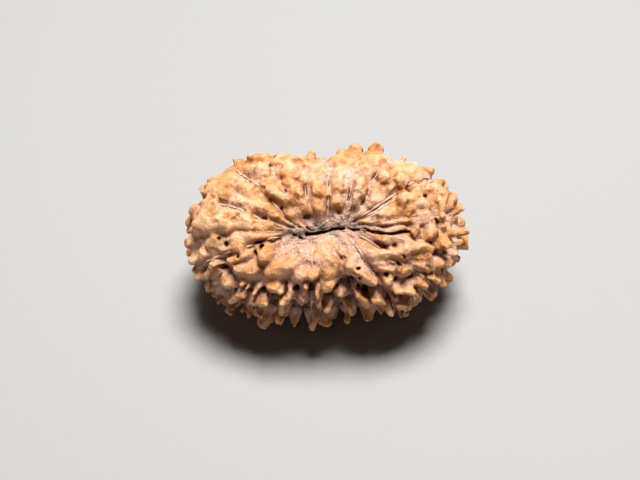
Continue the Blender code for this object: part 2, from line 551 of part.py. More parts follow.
def worn_flat(mesh):
    """Cuts the lowest knobs level, and sets the cut on Z = 0 under the middle of the seed."""
    shape = bmesh.new()
    shape.from_mesh(mesh)
    shape.transform(stance())
    floor = min(vert.co.z for vert in shape.verts) + WORN_DEPTH
    parts = shape.verts[:] + shape.edges[:] + shape.faces[:]
    below = {"plane_co": (0, 0, floor), "plane_no": (0, 0, -1), "clear_outer": True}
    bmesh.ops.bisect_plane(shape, geom=parts, **below)
    rims = [edge for edge in shape.edges if edge.is_boundary]
    bmesh.ops.holes_fill(shape, edges=rims)
    bmesh.ops.triangulate(shape, faces=[face for face in shape.faces if len(face.verts) > 3])
    low = Vector([min(vert.co[k] for vert in shape.verts) for k in range(3)])
    high = Vector([max(vert.co[k] for vert in shape.verts) for k in range(3)])
    middle = (low + high) / 2
    bmesh.ops.translate(shape, verts=shape.verts, vec=(-middle.x, -middle.y, -floor))
    bmesh.ops.recalc_face_normals(shape, faces=shape.faces)
    shape.to_mesh(mesh)
    shape.free()


def wood():
    """The seed's brown wood."""
    material = bpy.data.materials.new("seed_wood")
    material.use_nodes = True
    shader = material.node_tree.nodes["Principled BSDF"]
    shader.inputs["Base Color"].default_value = WOOD_COLOUR
    shader.inputs["Roughness"].default_value = WOOD_ROUGHNESS
    material.diffuse_color = WOOD_COLOUR
    return material


def main():
    """Builds the seed in a scene with nothing else in it."""
    for old in list(bpy.data.objects):
        bpy.data.objects.remove(old, do_unlink=True)
    group = bpy.data.collections.new("Rudraksha seed")
    bpy.context.scene.collection.children.link(group)

    draw = np.random.default_rng(SEED_FOR_DRAWS)
    azimuths = suture_azimuths()
    rows = rows_between(azimuths)
    knobs = ruled_knobs(draw, rows, seen_knobs(draw))
    pits = all_pits(draw, rows, knobs)
    corners, edges = lay_corners(azimuths, knobs, pits)
    faces = half_faces(corners, edges, 1) + half_faces(corners, edges, -1)
    surface = raised(corners, azimuths, knobs, pits)

    mesh = new_mesh(NODE_NAME, surface, faces)
    worn_flat(mesh)
    seed = bpy.data.objects.new(NODE_NAME, mesh)
    seed.data.materials.append(wood())
    group.objects.link(seed)
    print(len(knobs), "knobs,", len(pits), "pits,", len(mesh.polygons), "triangles")


main()
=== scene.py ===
"""Rudraksha seed: the fine surface, sutures, fibres and finish of the stone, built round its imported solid."""

import math

import bpy
import numpy as np
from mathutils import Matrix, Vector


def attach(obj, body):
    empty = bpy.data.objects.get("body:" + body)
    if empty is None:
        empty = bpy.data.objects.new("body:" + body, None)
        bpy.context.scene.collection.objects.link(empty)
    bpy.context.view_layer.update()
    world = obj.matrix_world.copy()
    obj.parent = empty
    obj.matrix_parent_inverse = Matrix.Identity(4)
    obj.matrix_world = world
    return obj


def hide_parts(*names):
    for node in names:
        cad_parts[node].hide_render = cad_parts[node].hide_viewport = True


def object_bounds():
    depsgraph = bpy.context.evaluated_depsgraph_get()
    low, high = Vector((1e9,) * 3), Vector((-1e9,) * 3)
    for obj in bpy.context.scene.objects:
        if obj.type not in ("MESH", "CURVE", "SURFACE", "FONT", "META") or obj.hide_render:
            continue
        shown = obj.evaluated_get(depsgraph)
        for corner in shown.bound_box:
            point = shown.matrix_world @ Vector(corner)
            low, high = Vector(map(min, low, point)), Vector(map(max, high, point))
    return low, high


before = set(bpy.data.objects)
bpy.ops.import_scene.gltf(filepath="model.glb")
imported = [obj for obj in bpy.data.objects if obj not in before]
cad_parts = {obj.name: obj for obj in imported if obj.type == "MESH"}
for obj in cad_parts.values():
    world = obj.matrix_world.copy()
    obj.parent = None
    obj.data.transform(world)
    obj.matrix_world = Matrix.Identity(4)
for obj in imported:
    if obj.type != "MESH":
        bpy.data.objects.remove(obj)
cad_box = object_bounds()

import openvdb
from bpy.props import FloatProperty, FloatVectorProperty, IntProperty, PointerProperty
from bpy.types import Operator, Panel, PropertyGroup
from mathutils import Vector

bl_info = {
    "name": "Rudraksha Seed",
    "version": (1, 0, 0),
    "blender": (4, 5, 0),
    "location": "View3D > Sidebar > Seed",
    "description": "Builds a knobbed rudraksha seed with its sutures and fibres",
    "category": "Add Mesh",
}

MM = 0.001
NODE = "rudraksha_seed"
BODY = "root"
SEED_FOR_DRAWS = 18

# Bare body in its own frame, as in the solid: X along, Y across, Z from the far pore to the near slit
HALF_LENGTH = 14.6 * MM
HALF_WIDTH = 8.9 * MM
HALF_HEIGHT = 7.9 * MM
OUTLINE_POWER = 2.35
PROFILE_POWER = 2.2
WAIST_DEPTH = 0.6 * MM
WAIST_SPREAD = 2.6 * MM
WAIST_MIDDLE = 0.65 * MM
WAIST_SKEW = -1.35 * MM

# Sutures, as azimuths in degrees round the near pole from the seed's right-hand end
SUTURES = (0, 7, 26, 45, 62, 84, 107, 128, 143, 162.5, 180, 196, 217, 238, 266, 293, 315, 336)
RIB_RELIEF = 0.45 * MM
RIB_LEVEL = 0.6
POLE_RIDGE = 0.5 * MM
POLE_RIDGE_LEVEL = 0.5
POLE_RIDGE_REACH = (0.7 * MM, 5.0 * MM)

# How strongly each rib stands out near the slit, from the first suture on
RIB_SHARES = (0.4, 0.6, 0.5, 0.8, 1.0, 1.0, 1.0, 0.8, 0.6, 0.15, 0.25, 0.5, 0.4, 0.35, 0.35, 0.45, 0.5, 0.5)
FAR_SHARE = 0.7
FAR_CHANGE = (2.0 * MM, -2.0 * MM)
SLIT_HALF_LENGTH = 3.2 * MM
SLIT_TURN = math.radians(11)
SLIT_OFFSET = -0.45 * MM
PORE_HALF_LENGTH = 1.2 * MM
DIMPLE_DEPTH = 1.2 * MM
DIMPLE_REACH = 3.2 * MM

# How the seed is seen: the near pole tips this far from the line of sight, and the seed is spun a little
SEEN_TILT = math.radians(7)
SEEN_SPIN = math.radians(2)
EYE_DISTANCE = 110 * MM
EYE_ELEVATION = math.radians(50)
SIGHT_EDGE = -0.05
EDGE_REACH = 0.3
EDGE_SHARE = 0.35
ROUND_END = 0.45

# Knobs on the side seen, in millimetres right and up of the middle: the round end, foot radius, height
SEEN_KNOBS = (
    (-13.6, 5.6, 1.0, 1.3), (-10.2, 8.2, 1.35, 1.4), (-5.6, 8.3, 0.8, 0.9), (-4.1, 8.5, 1.0, 1.1),
    (-2.9, 8.8, 0.7, 1.1), (-1.6, 9.2, 0.85, 1.6), (-8.2, 7.6, 1.0, 1.1), (-10.2, 6.7, 1.0, 0.9),
    (-8.6, 5.4, 1.0, 1.0), (-8.6, 3.1, 0.5, 0.6), (-7.0, 3.3, 0.95, 1.0), (-7.0, 5.8, 0.65, 0.7),
    (-0.8, 2.9, 0.5, 0.6), (-2.5, 7.7, 0.6, 0.6), (-6.3, 8.3, 0.8, 0.6), (-6.6, 6.9, 0.8, 0.5),
    (-11.3, 5.4, 0.8, 0.5), (-0.4, 7.2, 0.6, 0.5), (0.6, 8.7, 0.8, 0.8), (1.6, 9.5, 0.85, 1.3),
    (3.4, 9.45, 0.8, 1.2), (4.7, 9.2, 0.7, 0.8), (5.7, 10.0, 1.5, 1.9), (7.2, 8.9, 0.8, 0.7),
    (8.9, 9.1, 0.42, 1.1), (9.8, 8.2, 1.0, 0.9), (11.5, 7.4, 0.85, 1.0), (12.9, 6.2, 0.8, 1.1),
    (14.1, 4.4, 1.1, 1.0), (14.8, 2.9, 0.8, 1.2), (14.5, 2.1, 0.5, 0.6), (15.5, 0.6, 0.9, 1.4),
    (1.4, 6.7, 0.55, 0.7), (1.7, 5.7, 0.8, 1.0), (1.2, 3.7, 0.6, 0.8), (3.2, 3.6, 0.55, 0.6),
    (8.1, 5.9, 0.9, 0.5), (10.2, 6.3, 0.8, 0.7), (9.9, 5.1, 0.7, 0.6), (11.6, 5.6, 0.9, 1.0),
    (13.8, 3.4, 0.6, 0.6), (9.8, 0.7, 0.9, 0.9), (11.9, 0.6, 1.0, 1.0), (13.3, 1.2, 0.6, 0.8),
    (14.2, 0.6, 0.8, 1.1), (5.1, 7.9, 0.7, 0.5), (6.4, 6.3, 0.8, 0.4), (3.2, 8.0, 0.6, 0.6),
    (1.6, 8.1, 0.6, 0.6), (-15.6, -0.3, 1.2, 1.6), (-15.1, -2.5, 1.1, 1.3), (-13.7, -2.1, 0.9, 0.9),
    (-14.4, -4.5, 0.8, 1.3), (-11.1, -5.2, 1.1, 1.2), (-6.75, -2.2, 1.05, 1.1), (-2.9, -4.5, 0.8, 1.0),
    (-1.8, -4.4, 0.8, 1.0), (-6.2, -5.6, 0.9, 1.0), (-7.9, -6.1, 0.75, 1.1), (-8.7, -5.5, 0.5, 0.7),
    (-10.8, -8.7, 0.85, 1.6), (-13.3, -5.8, 0.8, 0.7), (-8.7, -9.3, 0.75, 1.7), (-5.1, -9.2, 0.65, 1.4),
    (-3.5, -10.0, 0.7, 1.5), (-1.2, -9.3, 0.6, 1.0), (-1.3, -10.1, 0.7, 1.7), (0.3, -5.4, 1.0, 1.2),
    (1.7, -6.6, 0.85, 0.9), (0.1, -8.2, 0.75, 1.3), (0.3, -9.8, 0.6, 1.4), (5.8, -7.0, 0.9, 1.1),
    (7.0, -8.4, 0.8, 1.4), (7.5, -6.9, 0.35, 0.7), (9.0, -8.7, 0.7, 1.5), (6.9, -4.9, 0.9, 1.0),
    (8.9, -3.8, 0.8, 1.0), (10.6, -5.3, 0.85, 1.1), (11.8, -6.2, 0.7, 0.8), (4.5, -0.6, 0.5, 0.4),
    (13.4, -0.7, 0.95, 1.5), (15.0, -0.9, 0.8, 1.0), (12.6, -3.0, 0.8, 0.8), (13.5, -2.7, 0.9, 0.8),
    (13.2, -5.0, 0.85, 1.1), (4.5, -9.1, 0.8, 1.5), (14.4, -1.8, 0.7, 0.8),
)

# Knobs drawn out into short ridges, in the same way: both ends, foot radius, height
SEEN_RIDGES = (
    (-15.0, 2.7, -14.3, 3.5, 1.1, 1.2), (-8.4, 8.8, -7.0, 8.9, 1.2, 1.6),
    (-12.7, 6.1, -10.9, 7.5, 1.2, 1.2), (-12.3, 4.7, -10.3, 4.0, 0.7, 0.7),
    (-13.5, 3.6, -12.5, 3.2, 0.8, 0.9), (-11.0, 2.7, -8.9, 2.3, 0.7, 0.7),
    (-6.3, 5.1, -4.7, 4.1, 1.0, 1.2), (-4.5, 6.9, -3.1, 6.7, 0.8, 1.1), (-3.1, 5.0, -2.3, 3.1, 0.7, 1.0),
    (-3.6, 2.5, -2.9, 1.8, 0.5, 0.4), (-1.0, 6.2, -0.8, 4.9, 0.8, 1.0), (4.3, 7.0, 3.7, 5.3, 0.75, 1.1),
    (5.1, 3.8, 6.4, 4.1, 0.6, 0.6), (8.7, 4.3, 10.9, 3.5, 0.8, 0.9), (7.4, 7.3, 9.1, 7.5, 0.8, 0.6),
    (12.6, 4.1, 12.9, 2.7, 0.9, 1.2), (9.3, 2.4, 11.3, 2.3, 0.8, 0.7), (6.2, 2.2, 7.5, 2.6, 0.5, 0.4),
    (4.2, 1.4, 7.5, 1.2, 0.5, 0.5), (-12.6, -3.2, -13.1, -4.3, 0.8, 1.2),
    (-12.6, -0.9, -9.6, -1.4, 0.8, 0.8), (-10.9, -2.6, -9.0, -2.1, 0.5, 0.7),
    (-9.6, -3.7, -8.0, -3.9, 1.0, 0.8), (-6.4, -4.0, -4.2, -3.1, 1.0, 0.8),
    (-5.2, -2.2, -3.3, -1.5, 0.5, 0.4), (-2.6, -5.8, -2.6, -7.6, 0.55, 1.0),
    (-3.9, -6.1, -4.1, -7.2, 0.5, 0.9), (-1.2, -6.2, -1.1, -7.8, 0.55, 1.0),
    (-8.4, -7.5, -6.8, -7.1, 0.7, 1.1), (-9.4, -6.5, -10.8, -7.2, 0.75, 1.1),
    (-12.7, -6.6, -11.8, -8.2, 0.6, 0.9), (-7.0, -9.6, -6.5, -10.0, 0.8, 1.7),
    (-4.95, -7.3, -5.0, -8.3, 0.6, 1.3), (-7.4, -8.3, -7.0, -9.2, 0.6, 0.9),
    (0.3, -2.6, 0.3, -4.2, 0.8, 0.8), (1.8, -1.6, 2.7, -2.4, 0.6, 0.6), (2.6, -3.5, 5.2, -5.2, 0.9, 1.1),
    (3.5, -6.5, 4.4, -7.6, 0.65, 1.1), (8.1, -7.8, 9.2, -7.9, 0.8, 1.1), (7.7, -5.9, 9.7, -5.8, 0.8, 1.0),
    (4.9, -1.6, 8.3, -2.0, 0.7, 0.7), (8.6, -1.6, 11.3, -1.3, 0.8, 0.9),
    (11.2, -2.2, 11.8, -3.6, 0.6, 0.9), (5.6, 0.1, 7.0, -0.1, 0.6, 0.6), (8.6, -0.2, 9.1, -1.0, 0.7, 0.7),
    (11.9, -4.4, 12.6, -4.8, 0.6, 0.9),
)

# Pits in among them: place, radius, depth
SEEN_PITS = (
    (-12.9, 5.3, 0.35, 0.6), (-3.8, 5.8, 0.45, 0.5), (-14.0, 2.5, 0.5, 0.6), (-12.1, 2.5, 0.4, 0.6),
    (-4.9, 3.1, 0.5, 0.6), (-2.2, 2.5, 0.4, 0.5), (1.3, 2.8, 0.45, 0.7), (-11.9, -0.3, 0.45, 0.7),
    (-10.9, -0.7, 0.45, 0.8), (-14.9, -1.4, 0.5, 0.8), (-7.9, -1.9, 0.5, 1.3), (-7.2, -1.2, 0.4, 1.0),
    (-9.6, -2.1, 0.3, 0.9), (-11.7, -3.5, 0.6, 1.3), (-7.1, -6.1, 0.5, 1.3), (-3.4, -5.9, 0.5, 1.3),
    (-1.75, -5.8, 0.5, 1.3), (0.1, -6.9, 0.5, 1.3), (1.5, -5.4, 0.45, 1.2), (4.4, -6.4, 0.65, 1.3),
    (3.6, -5.9, 0.4, 1.1), (3.9, -4.5, 0.3, 0.5), (7.9, -5.0, 0.45, 1.0), (9.7, -4.7, 0.4, 1.0),
    (6.8, -4.1, 0.35, 0.6), (13.2, -3.8, 0.4, 1.1), (12.3, -1.7, 0.6, 0.8), (13.6, -1.9, 0.5, 0.9),
    (14.6, 0.0, 0.4, 0.8), (-5.8, -8.0, 0.6, 1.2), (-8.4, -8.4, 0.6, 1.2), (-9.6, -8.0, 0.5, 1.1),
    (8.6, -6.8, 0.6, 1.1), (12.2, 1.9, 0.5, 0.6), (10.0, 7.2, 0.4, 0.6), (15.2, 0.4, 0.3, 0.5),
    (-2.0, -8.6, 0.5, 1.0), (2.9, -7.6, 0.5, 1.1), (-10.3, -5.9, 0.4, 0.8), (8.1, -2.9, 0.4, 0.7),
)

# The other knobs stand in rows along the ribs
ROW_PITCH = 2.1 * MM
ROW_STEP = 2.05 * MM
ROW_STEP_SPREAD = (0.92, 1.08)
FIRST_KNOB_REACH = (2.6 * MM, 4.4 * MM)
LAST_KNOB_REACH = (2.1 * MM, 3.5 * MM)
KNOB_FOOT = (0.78 * MM, 1.05 * MM)
KNOB_HEIGHT = (0.95 * MM, 1.65 * MM)
KNOB_GROWTH_REACH = 0.6 * HALF_LENGTH
KNOB_NUDGE = 0.16 * MM
KNOB_CROWDING = 0.84
KNOB_LEAN = 0.16
KNOB_POLE_SHARE = 0.55
PIT_CHANCE = 0.55
PIT_RADIUS = 0.5 * MM
PIT_DEPTH = (0.6 * MM, 1.1 * MM)
PIT_START = (5.0 * MM, 6.0 * MM)
PIT_END = 3.5 * MM
PIT_SPACING = 2.0 * MM
PIT_CLEARANCE = 0.75
SEEN_PIT_LIFT = 0.3 * MM
LINE_SAMPLES = 161
HALVINGS = 40
SIGHT_ROUNDS = 60
SIGHT_STEP = 0.7

# Grid of the fine surface, and the mesh made of it
FIELD_MARGIN = 2.6 * MM
BAND = (-3.4 * MM, 3.6 * MM)
GRAIN_NUMBERS = range(40, 50)
BEND_ROUNDS = 6
EASE_SHARE = 0.35
TRIANGLES = 192000
BOX_EASE = 0.02 * MM

# Random bending of the whole surface, and lumps on it: height, size
WARP = (0.24 * MM, 1.3 * MM)
LUMPS = ((0.2 * MM, 1.0 * MM), (0.14 * MM, 0.55 * MM), (0.11 * MM, 0.34 * MM))

# Where two values stand together, the first is for the seed's upper side as seen and the second for its lower
LOWER_FROM = (2.0 * MM, -6.0 * MM)
KNOB_BLEND = (0.55 * MM, 0.24 * MM)
NEIGHBOUR_BLEND = 0.14 * MM
FOOT_SHARE = (0.92, 0.74)
OPEN_REACH = (0.7 * MM, 0.45 * MM)
OPEN_FROM = 0.05 * MM
VALLEY_SINK = 1.2 * MM
SINK_REACH = (4.25 * MM, 6.75 * MM)
SINK_AT_POLE = 0.1
GROUND_RISE = 0.12 * MM
RISE_REACH = (1.25 * MM, 3.75 * MM)
RISE_FACING = 0.5
SWELL_WINDOW = 2.2

# Knobs: their roots, the width of blunt and of slim tips against the foot, and how hollow the flanks are
KNOB_DRAW = 77
KNOB_ROOT = 0.9 * MM
KNOB_WINDOW = 0.8 * MM
SLIMNESS = (1.1, 1.6)
BLUNT_TIP = (0.56, 0.74)
SLIM_TIP = (0.36, 0.5)
FLANK_POWER = (0.7, 1.2)

# Pits: the middle's lift, and the radius and depth against the solid's
PIT_LIFT = 0.1 * MM
PIT_WIDTH_SHARE = 0.78
PIT_DEPTH_SHARE = (0.6, 1.15)
PIT_BLEND = 0.2 * MM
PIT_WINDOW = 1.8 * MM

# Pore at the far pole
PORE_WIDTH = 0.4 * MM
PORE_DEPTH = 1.5 * MM
PORE_RAGGED = (0.11 * MM, 0.5 * MM)
PORE_LENGTH_SHARE = 1.05

# Rows of knobs, furrows of the sutures, and wrinkles that run out from the slit
ROW_RELIEF = 0.2 * MM
ROW_LEVEL = 0.6
ROW_CREST_POWER = 0.7
ROW_REACH = (4.5 * MM, 7.5 * MM)
SUTURE_WANDER = 0.07 * MM
SUTURE_WAVES = (0.9 * MM, 0.37 * MM)
LEAST_REACH = 0.5 * MM
VALE_DEPTH = 0.1 * MM
VALE_HALF_WIDTH = 0.3 * MM
VALE_START = 0.8 * MM
CLEFT_HALF_WIDTH = 0.14 * MM
CLEFT_WAVES = (0.7 * MM, 0.31 * MM)
CLEFT_ENDS = (0.4 * MM, 1.5 * MM)
CLEFT_FROM = (1.3 * MM, 0.1 * MM)
WRINKLE = 0.07 * MM
WRINKLES_ROUND = 15
WRINKLE_LENGTH = 1.9 * MM
WRINKLE_FROM_KNOB = 0.5 * MM

# The sutures that are sunk near the slit: number, depth, and where the furrow starts and ends
CLEFTS = (
    (0, 0.35 * MM, 0.0, 8.0 * MM), (11, 0.3 * MM, 0.2 * MM, 3.0 * MM), (11, 0.7 * MM, 3.4 * MM, 6.5 * MM),
)

# Tears at the slit and along the right-hand suture, as seen: both ends, half width, depth
TEARS = (
    (-2.4, 0.2, -0.3, 0.6, 0.26, 1.7), (-0.3, 0.6, 1.4, 0.93, 0.15, 1.3), (1.4, 0.93, 3.0, 0.85, 0.1, 1.0),
    (-4.0, 0.85, -1.6, 0.9, 0.1, 0.7), (-3.8, 0.0, -3.0, -0.35, 0.12, 0.5),
    (-3.0, -0.35, -1.5, -0.42, 0.1, 0.8), (3.0, 0.85, 5.2, 0.6, 0.15, 0.6),
    (5.2, 0.6, 8.9, 0.42, 0.16, 0.3), (-5.1, -0.2, -6.3, -0.75, 0.12, 0.35),
)
SLIT_BLEND = 0.08 * MM
TEAR_BEND = (0.16 * MM, 0.75 * MM)
TEAR_EDGE = (0.06 * MM, 0.3 * MM)
TEAR_WINDOW = 0.5 * MM

# Swells of the ground on the side seen: place, reach, height
SWELLS = (
    (-13.4, 1.4, 2.0, 0.3), (-10.4, 1.1, 2.0, 0.3), (-2.0, -4.4, 2.2, 0.3), (-6.2, -3.8, 2.0, 0.2),
    (6.4, -2.8, 2.0, 0.35), (10.2, -2.9, 1.8, 0.3), (-5.4, 3.1, 1.0, 0.4), (-4.2, 2.0, 0.9, 0.3),
    (-6.5, 4.3, 0.9, 0.4), (4.4, -2.6, 0.9, 0.4), (5.3, -4.0, 0.9, 0.5), (6.0, -5.2, 0.8, 0.4),
    (-4.4, -4.5, 1.0, 0.6), (-0.9, -4.4, 0.8, 0.4), (1.7, -4.3, 1.1, 0.5), (-7.6, -3.4, 1.0, 0.5),
    (-5.0, 4.9, 0.9, 0.25), (-8.0, -0.6, 1.2, 0.3), (-6.6, 0.8, 0.9, 0.25), (-8.4, 0.75, 1.0, 0.35),
    (-10.2, 0.65, 1.0, 0.4), (-12.0, 0.55, 1.1, 0.45), (-13.8, 0.4, 1.1, 0.45), (-9.3, 7.4, 3.6, 0.6),
    (-13.0, 4.6, 2.6, 0.45), (-4.2, 8.2, 2.8, 0.5), (1.4, 8.6, 2.2, 0.35), (5.6, 8.0, 3.0, 0.55),
    (9.2, 6.3, 3.0, 0.5), (8.0, 2.9, 2.4, 0.3), (-12.6, 0.9, 2.4, 0.55), (-8.6, 0.9, 2.4, 0.4),
    (-8.6, 4.2, 2.2, 0.3), (12.6, 4.2, 2.0, 0.25), (-4.6, -2.8, 2.4, 0.3), (0.2, -3.4, 2.6, 0.3),
    (3.6, -3.4, 2.0, 0.25),
)

# Knobs, ridges and hollows too fine for the solid, each in the same way as the large ones
SMALL_KNOBS = (
    (-12.4, -5.2, 0.6, 0.8), (-13.2, -6.0, 0.6, 1.1), (-12.2, -7.6, 0.6, 1.3), (-11.5, -8.6, 0.6, 1.5),
    (-11.0, -8.0, 0.5, 0.9), (-9.9, -8.9, 0.5, 1.2), (-5.2, -6.2, 0.6, 0.9), (-9.6, -5.1, 0.4, 0.6),
    (-5.0, -10.0, 0.5, 1.4), (2.8, -8.6, 0.6, 1.3), (2.4, -9.6, 0.5, 1.4), (5.9, -8.6, 0.5, 1.1),
    (10.6, -7.2, 0.5, 0.9), (12.0, -5.4, 0.5, 0.8), (3.3, 4.6, 0.45, 0.6), (-0.9, 3.7, 0.4, 0.6),
    (6.1, 5.2, 0.5, 0.35), (7.9, 3.9, 0.5, 0.3), (-12.0, 6.4, 0.6, 0.9), (-9.3, 6.2, 0.6, 0.85),
    (-5.4, 6.2, 0.5, 0.5), (9.6, 3.2, 0.5, 0.5), (12.2, 5.1, 0.5, 0.6), (-4.6, 7.6, 0.5, 0.8),
    (-12.4, 1.3, 0.6, 0.7), (10.9, -4.4, 0.45, 0.7), (9.9, -6.6, 0.45, 0.8),
)
SMALL_RIDGES = (
    (5.2, -2.9, 8.0, -2.85, 0.3, 0.5), (5.6, -3.45, 7.6, -3.6, 0.3, 0.55), (5.3, -2.3, 6.8, -2.35, 0.3, 0.4),
    (8.9, -2.4, 11.0, -2.35, 0.35, 0.55), (9.7, -3.2, 11.3, -3.45, 0.35, 0.6),
    (9.3, -2.85, 10.8, -2.95, 0.25, 0.4),
    (8.0, -7.75, 9.3, -7.7, 0.6, 1.2), (7.6, -6.9, 7.9, -7.1, 0.45, 0.7), (10.2, -6.2, 10.5, -7.0, 0.4, 0.9),
    (5.2, -7.0, 6.2, -7.4, 0.6, 1.1), (8.3, -8.9, 9.1, -8.9, 0.5, 1.3), (-5.9, -2.6, -3.4, -1.5, 0.3, 0.3),
    (-13.6, 1.6, -10.6, 1.5, 0.7, 0.4), (-15.0, 0.6, -13.6, 1.6, 0.8, 0.7), (-7.9, 5.0, -6.9, 5.7, 0.5, 0.5),
    (-13.0, 5.0, -10.4, 4.1, 0.45, 0.6), (-11.3, 2.9, -9.6, 2.3, 0.5, 0.6), (4.6, 1.6, 7.4, 1.8, 0.4, 0.35),
    (8.0, 1.5, 10.6, 1.5, 0.4, 0.4), (5.4, 1.05, 8.6, 1.1, 0.3, 0.35), (-2.2, -2.4, -2.5, -4.0, 0.35, 0.35),
    (-0.3, -1.9, -0.2, -3.2, 0.35, 0.35), (1.9, -1.7, 3.0, -2.9, 0.35, 0.4),
    (-3.8, -2.2, -4.4, -3.0, 0.3, 0.3),
)
HOLLOWS = (
    (8.45, -1.85, 0.5, 0.4), (6.7, -1.75, 0.3, 0.35), (10.4, -1.4, 0.35, 0.45), (-0.9, 2.9, 0.4, 0.4),
    (2.9, 2.9, 0.4, 0.4), (-5.9, -7.1, 0.7, 1.4), (2.4, -7.6, 0.7, 1.3), (-9.9, 5.8, 0.5, 0.4),
    (-8.4, 4.5, 0.5, 0.4), (-13.0, 2.6, 0.5, 0.5), (-10.2, 1.9, 0.45, 0.4), (-7.0, 1.8, 0.5, 0.45),
    (9.0, 4.9, 0.4, 0.4), (11.0, 4.6, 0.4, 0.4), (-7.9, 6.9, 0.4, 0.5), (6.5, 2.9, 0.4, 0.25),
    (3.6, -3.6, 0.35, 0.5), (5.9, -0.9, 0.4, 0.5), (7.6, -0.9, 0.35, 0.5), (12.9, -1.0, 0.4, 0.8),
)

# How far each suture lies off the solid's, in degrees, and how all of them bend at the slit
SUTURE_TURNS = np.radians((0, 0, -2.5, 0, 0, 0, 0, 0, 0, 0, 0, -3, 0, 0, -4, 0, -2, -3.5))
SUTURE_BEND = math.radians(16)
BEND_REACH = 5.5 * MM

# Threads: each one's thickness, from the first suture on, the sutures that have a second one, its turn off
# the first, the step between places, the ends left free, and the levels searched for the ground
THREAD_SHARES = (
    0.0, 0.45, 1.0, 0.45, 0.35, 0.35, 0.35, 0.45, 1.0, 0.9, 0.45, 1.15, 0.45, 0.45, 1.0, 0.5, 0.9, 1.0,
)
DOUBLED = np.array([2, 11])
DOUBLE_TURN = np.array([0.05, -0.045])
THREAD_DRAW = 5
THREAD_STEP = 0.22 * MM
THREAD_ENDS = (0.9 * MM, 1.5 * MM)
THREAD_WANDER = 0.02 * MM
THREAD_LEVELS = (-0.9 * MM, 0.55 * MM)
THREAD_SUNK = -0.1 * MM
THREAD_RISE = 0.45

# Loose fibres at the slit: lengths in millimetres, and places along each
FIBRE_DRAW = 9
FIBRE_PLACES = 9
FIBRE_AWAY = (0.25, 0.8)
FIBRE_STEP = (0.1, 0.22)
FIBRE_LIFT = (0.02, 0.16)
FIBRE_WIDTH = (0.6, 1.3)
FIBRE_TIP = 0.35
FIBRE_SLANT = 0.12
FIBRE_LEVELS = (-1.2 * MM, 0.6 * MM)

# How far from the stone the finish looks for open space, which sets the painted shade of its flanks, crevices
# and pits
LOOK_OUT = (0.35 * MM, 0.7 * MM, 1.3 * MM)

# Values that the finish is driven by: widths round the sutures and poles, and the flanks turned to the slit
SEAM_WIDTH = 0.45 * MM
POLE_WIDTH = 2.6 * MM
FAR_POLE_SHARE = 0.8
SLIT_WIDTH = 0.7 * MM
INWARD = (0.02, 0.3)
INWARD_LOWER = 0.25
INWARD_START = (1.2 * MM, 2.4 * MM)
INWARD_END = (10.4 * MM, 6.4 * MM)

# Stage, in metres and in shares of the picture's width
FLOOR_SIZE = 3.0
CAMERA_SHIFT = (-6.5 / 640, -3.0 / 640)
KEY_PLACE, KEY_SIZE = (0.03, 0.06, 0.33), 0.15
FILL_PLACE, FILL_SIZE = (-0.25, -0.25, 0.20), 0.30

made = {}


def ring_size(x, y):
    """How far out a place lies in the seed's outline: 0 on the axis and 1 on the equator."""
    along = np.abs(x / HALF_LENGTH) ** OUTLINE_POWER
    across = np.abs(y / HALF_WIDTH) ** OUTLINE_POWER
    return (along + across) ** (1 / OUTLINE_POWER)


def onto_body(places):
    """Places moved straight out or in from the seed's middle, to the bare body."""
    x, y, z = places.T
    size = ring_size(x, y) ** PROFILE_POWER + np.abs(z / HALF_HEIGHT) ** PROFILE_POWER
    return places / size[:, None] ** (1 / PROFILE_POWER)


def outward(places):
    """Unit normals of the bare body."""
    x, y, z = places.T
    ring = np.maximum(ring_size(x, y), 1e-6) ** (PROFILE_POWER - OUTLINE_POWER)
    slope_x = ring * np.sign(x) * np.abs(x / HALF_LENGTH) ** (OUTLINE_POWER - 1) / HALF_LENGTH
    slope_y = ring * np.sign(y) * np.abs(y / HALF_WIDTH) ** (OUTLINE_POWER - 1) / HALF_WIDTH
    slope_z = np.sign(z) * np.abs(z / HALF_HEIGHT) ** (PROFILE_POWER - 1) / HALF_HEIGHT
    slopes = np.stack([slope_x, slope_y, slope_z], axis=1)
    return slopes / np.linalg.norm(slopes, axis=1)[:, None]


def pole_line(nearness):
    """Half length, turn and offset of the line that azimuths are counted round, at a height."""
    share = 0.5 + 0.5 * np.clip(nearness, -1, 1)
    half = PORE_HALF_LENGTH + (SLIT_HALF_LENGTH - PORE_HALF_LENGTH) * share
    return half, SLIT_TURN * share, SLIT_OFFSET * share


def slit_plane(places):
    """Places as complex numbers in the slit's own plane, its half length there, and its turn."""
    x, y, z = places.T
    half, turn, offset = pole_line(z / HALF_HEIGHT)
    return (x - offset + 1j * y * HALF_LENGTH / HALF_WIDTH) * np.exp(-1j * turn), half, turn


def round_slit(places):
    """Azimuth round the slit, and reach from it, of places on the body: both grow out like ripples."""
    flat, half, turn = slit_plane(places)
    spread = (flat + np.sqrt(flat - half) * np.sqrt(flat + half)) / 2
    return np.angle(spread) + turn, np.abs(spread) - half / 2


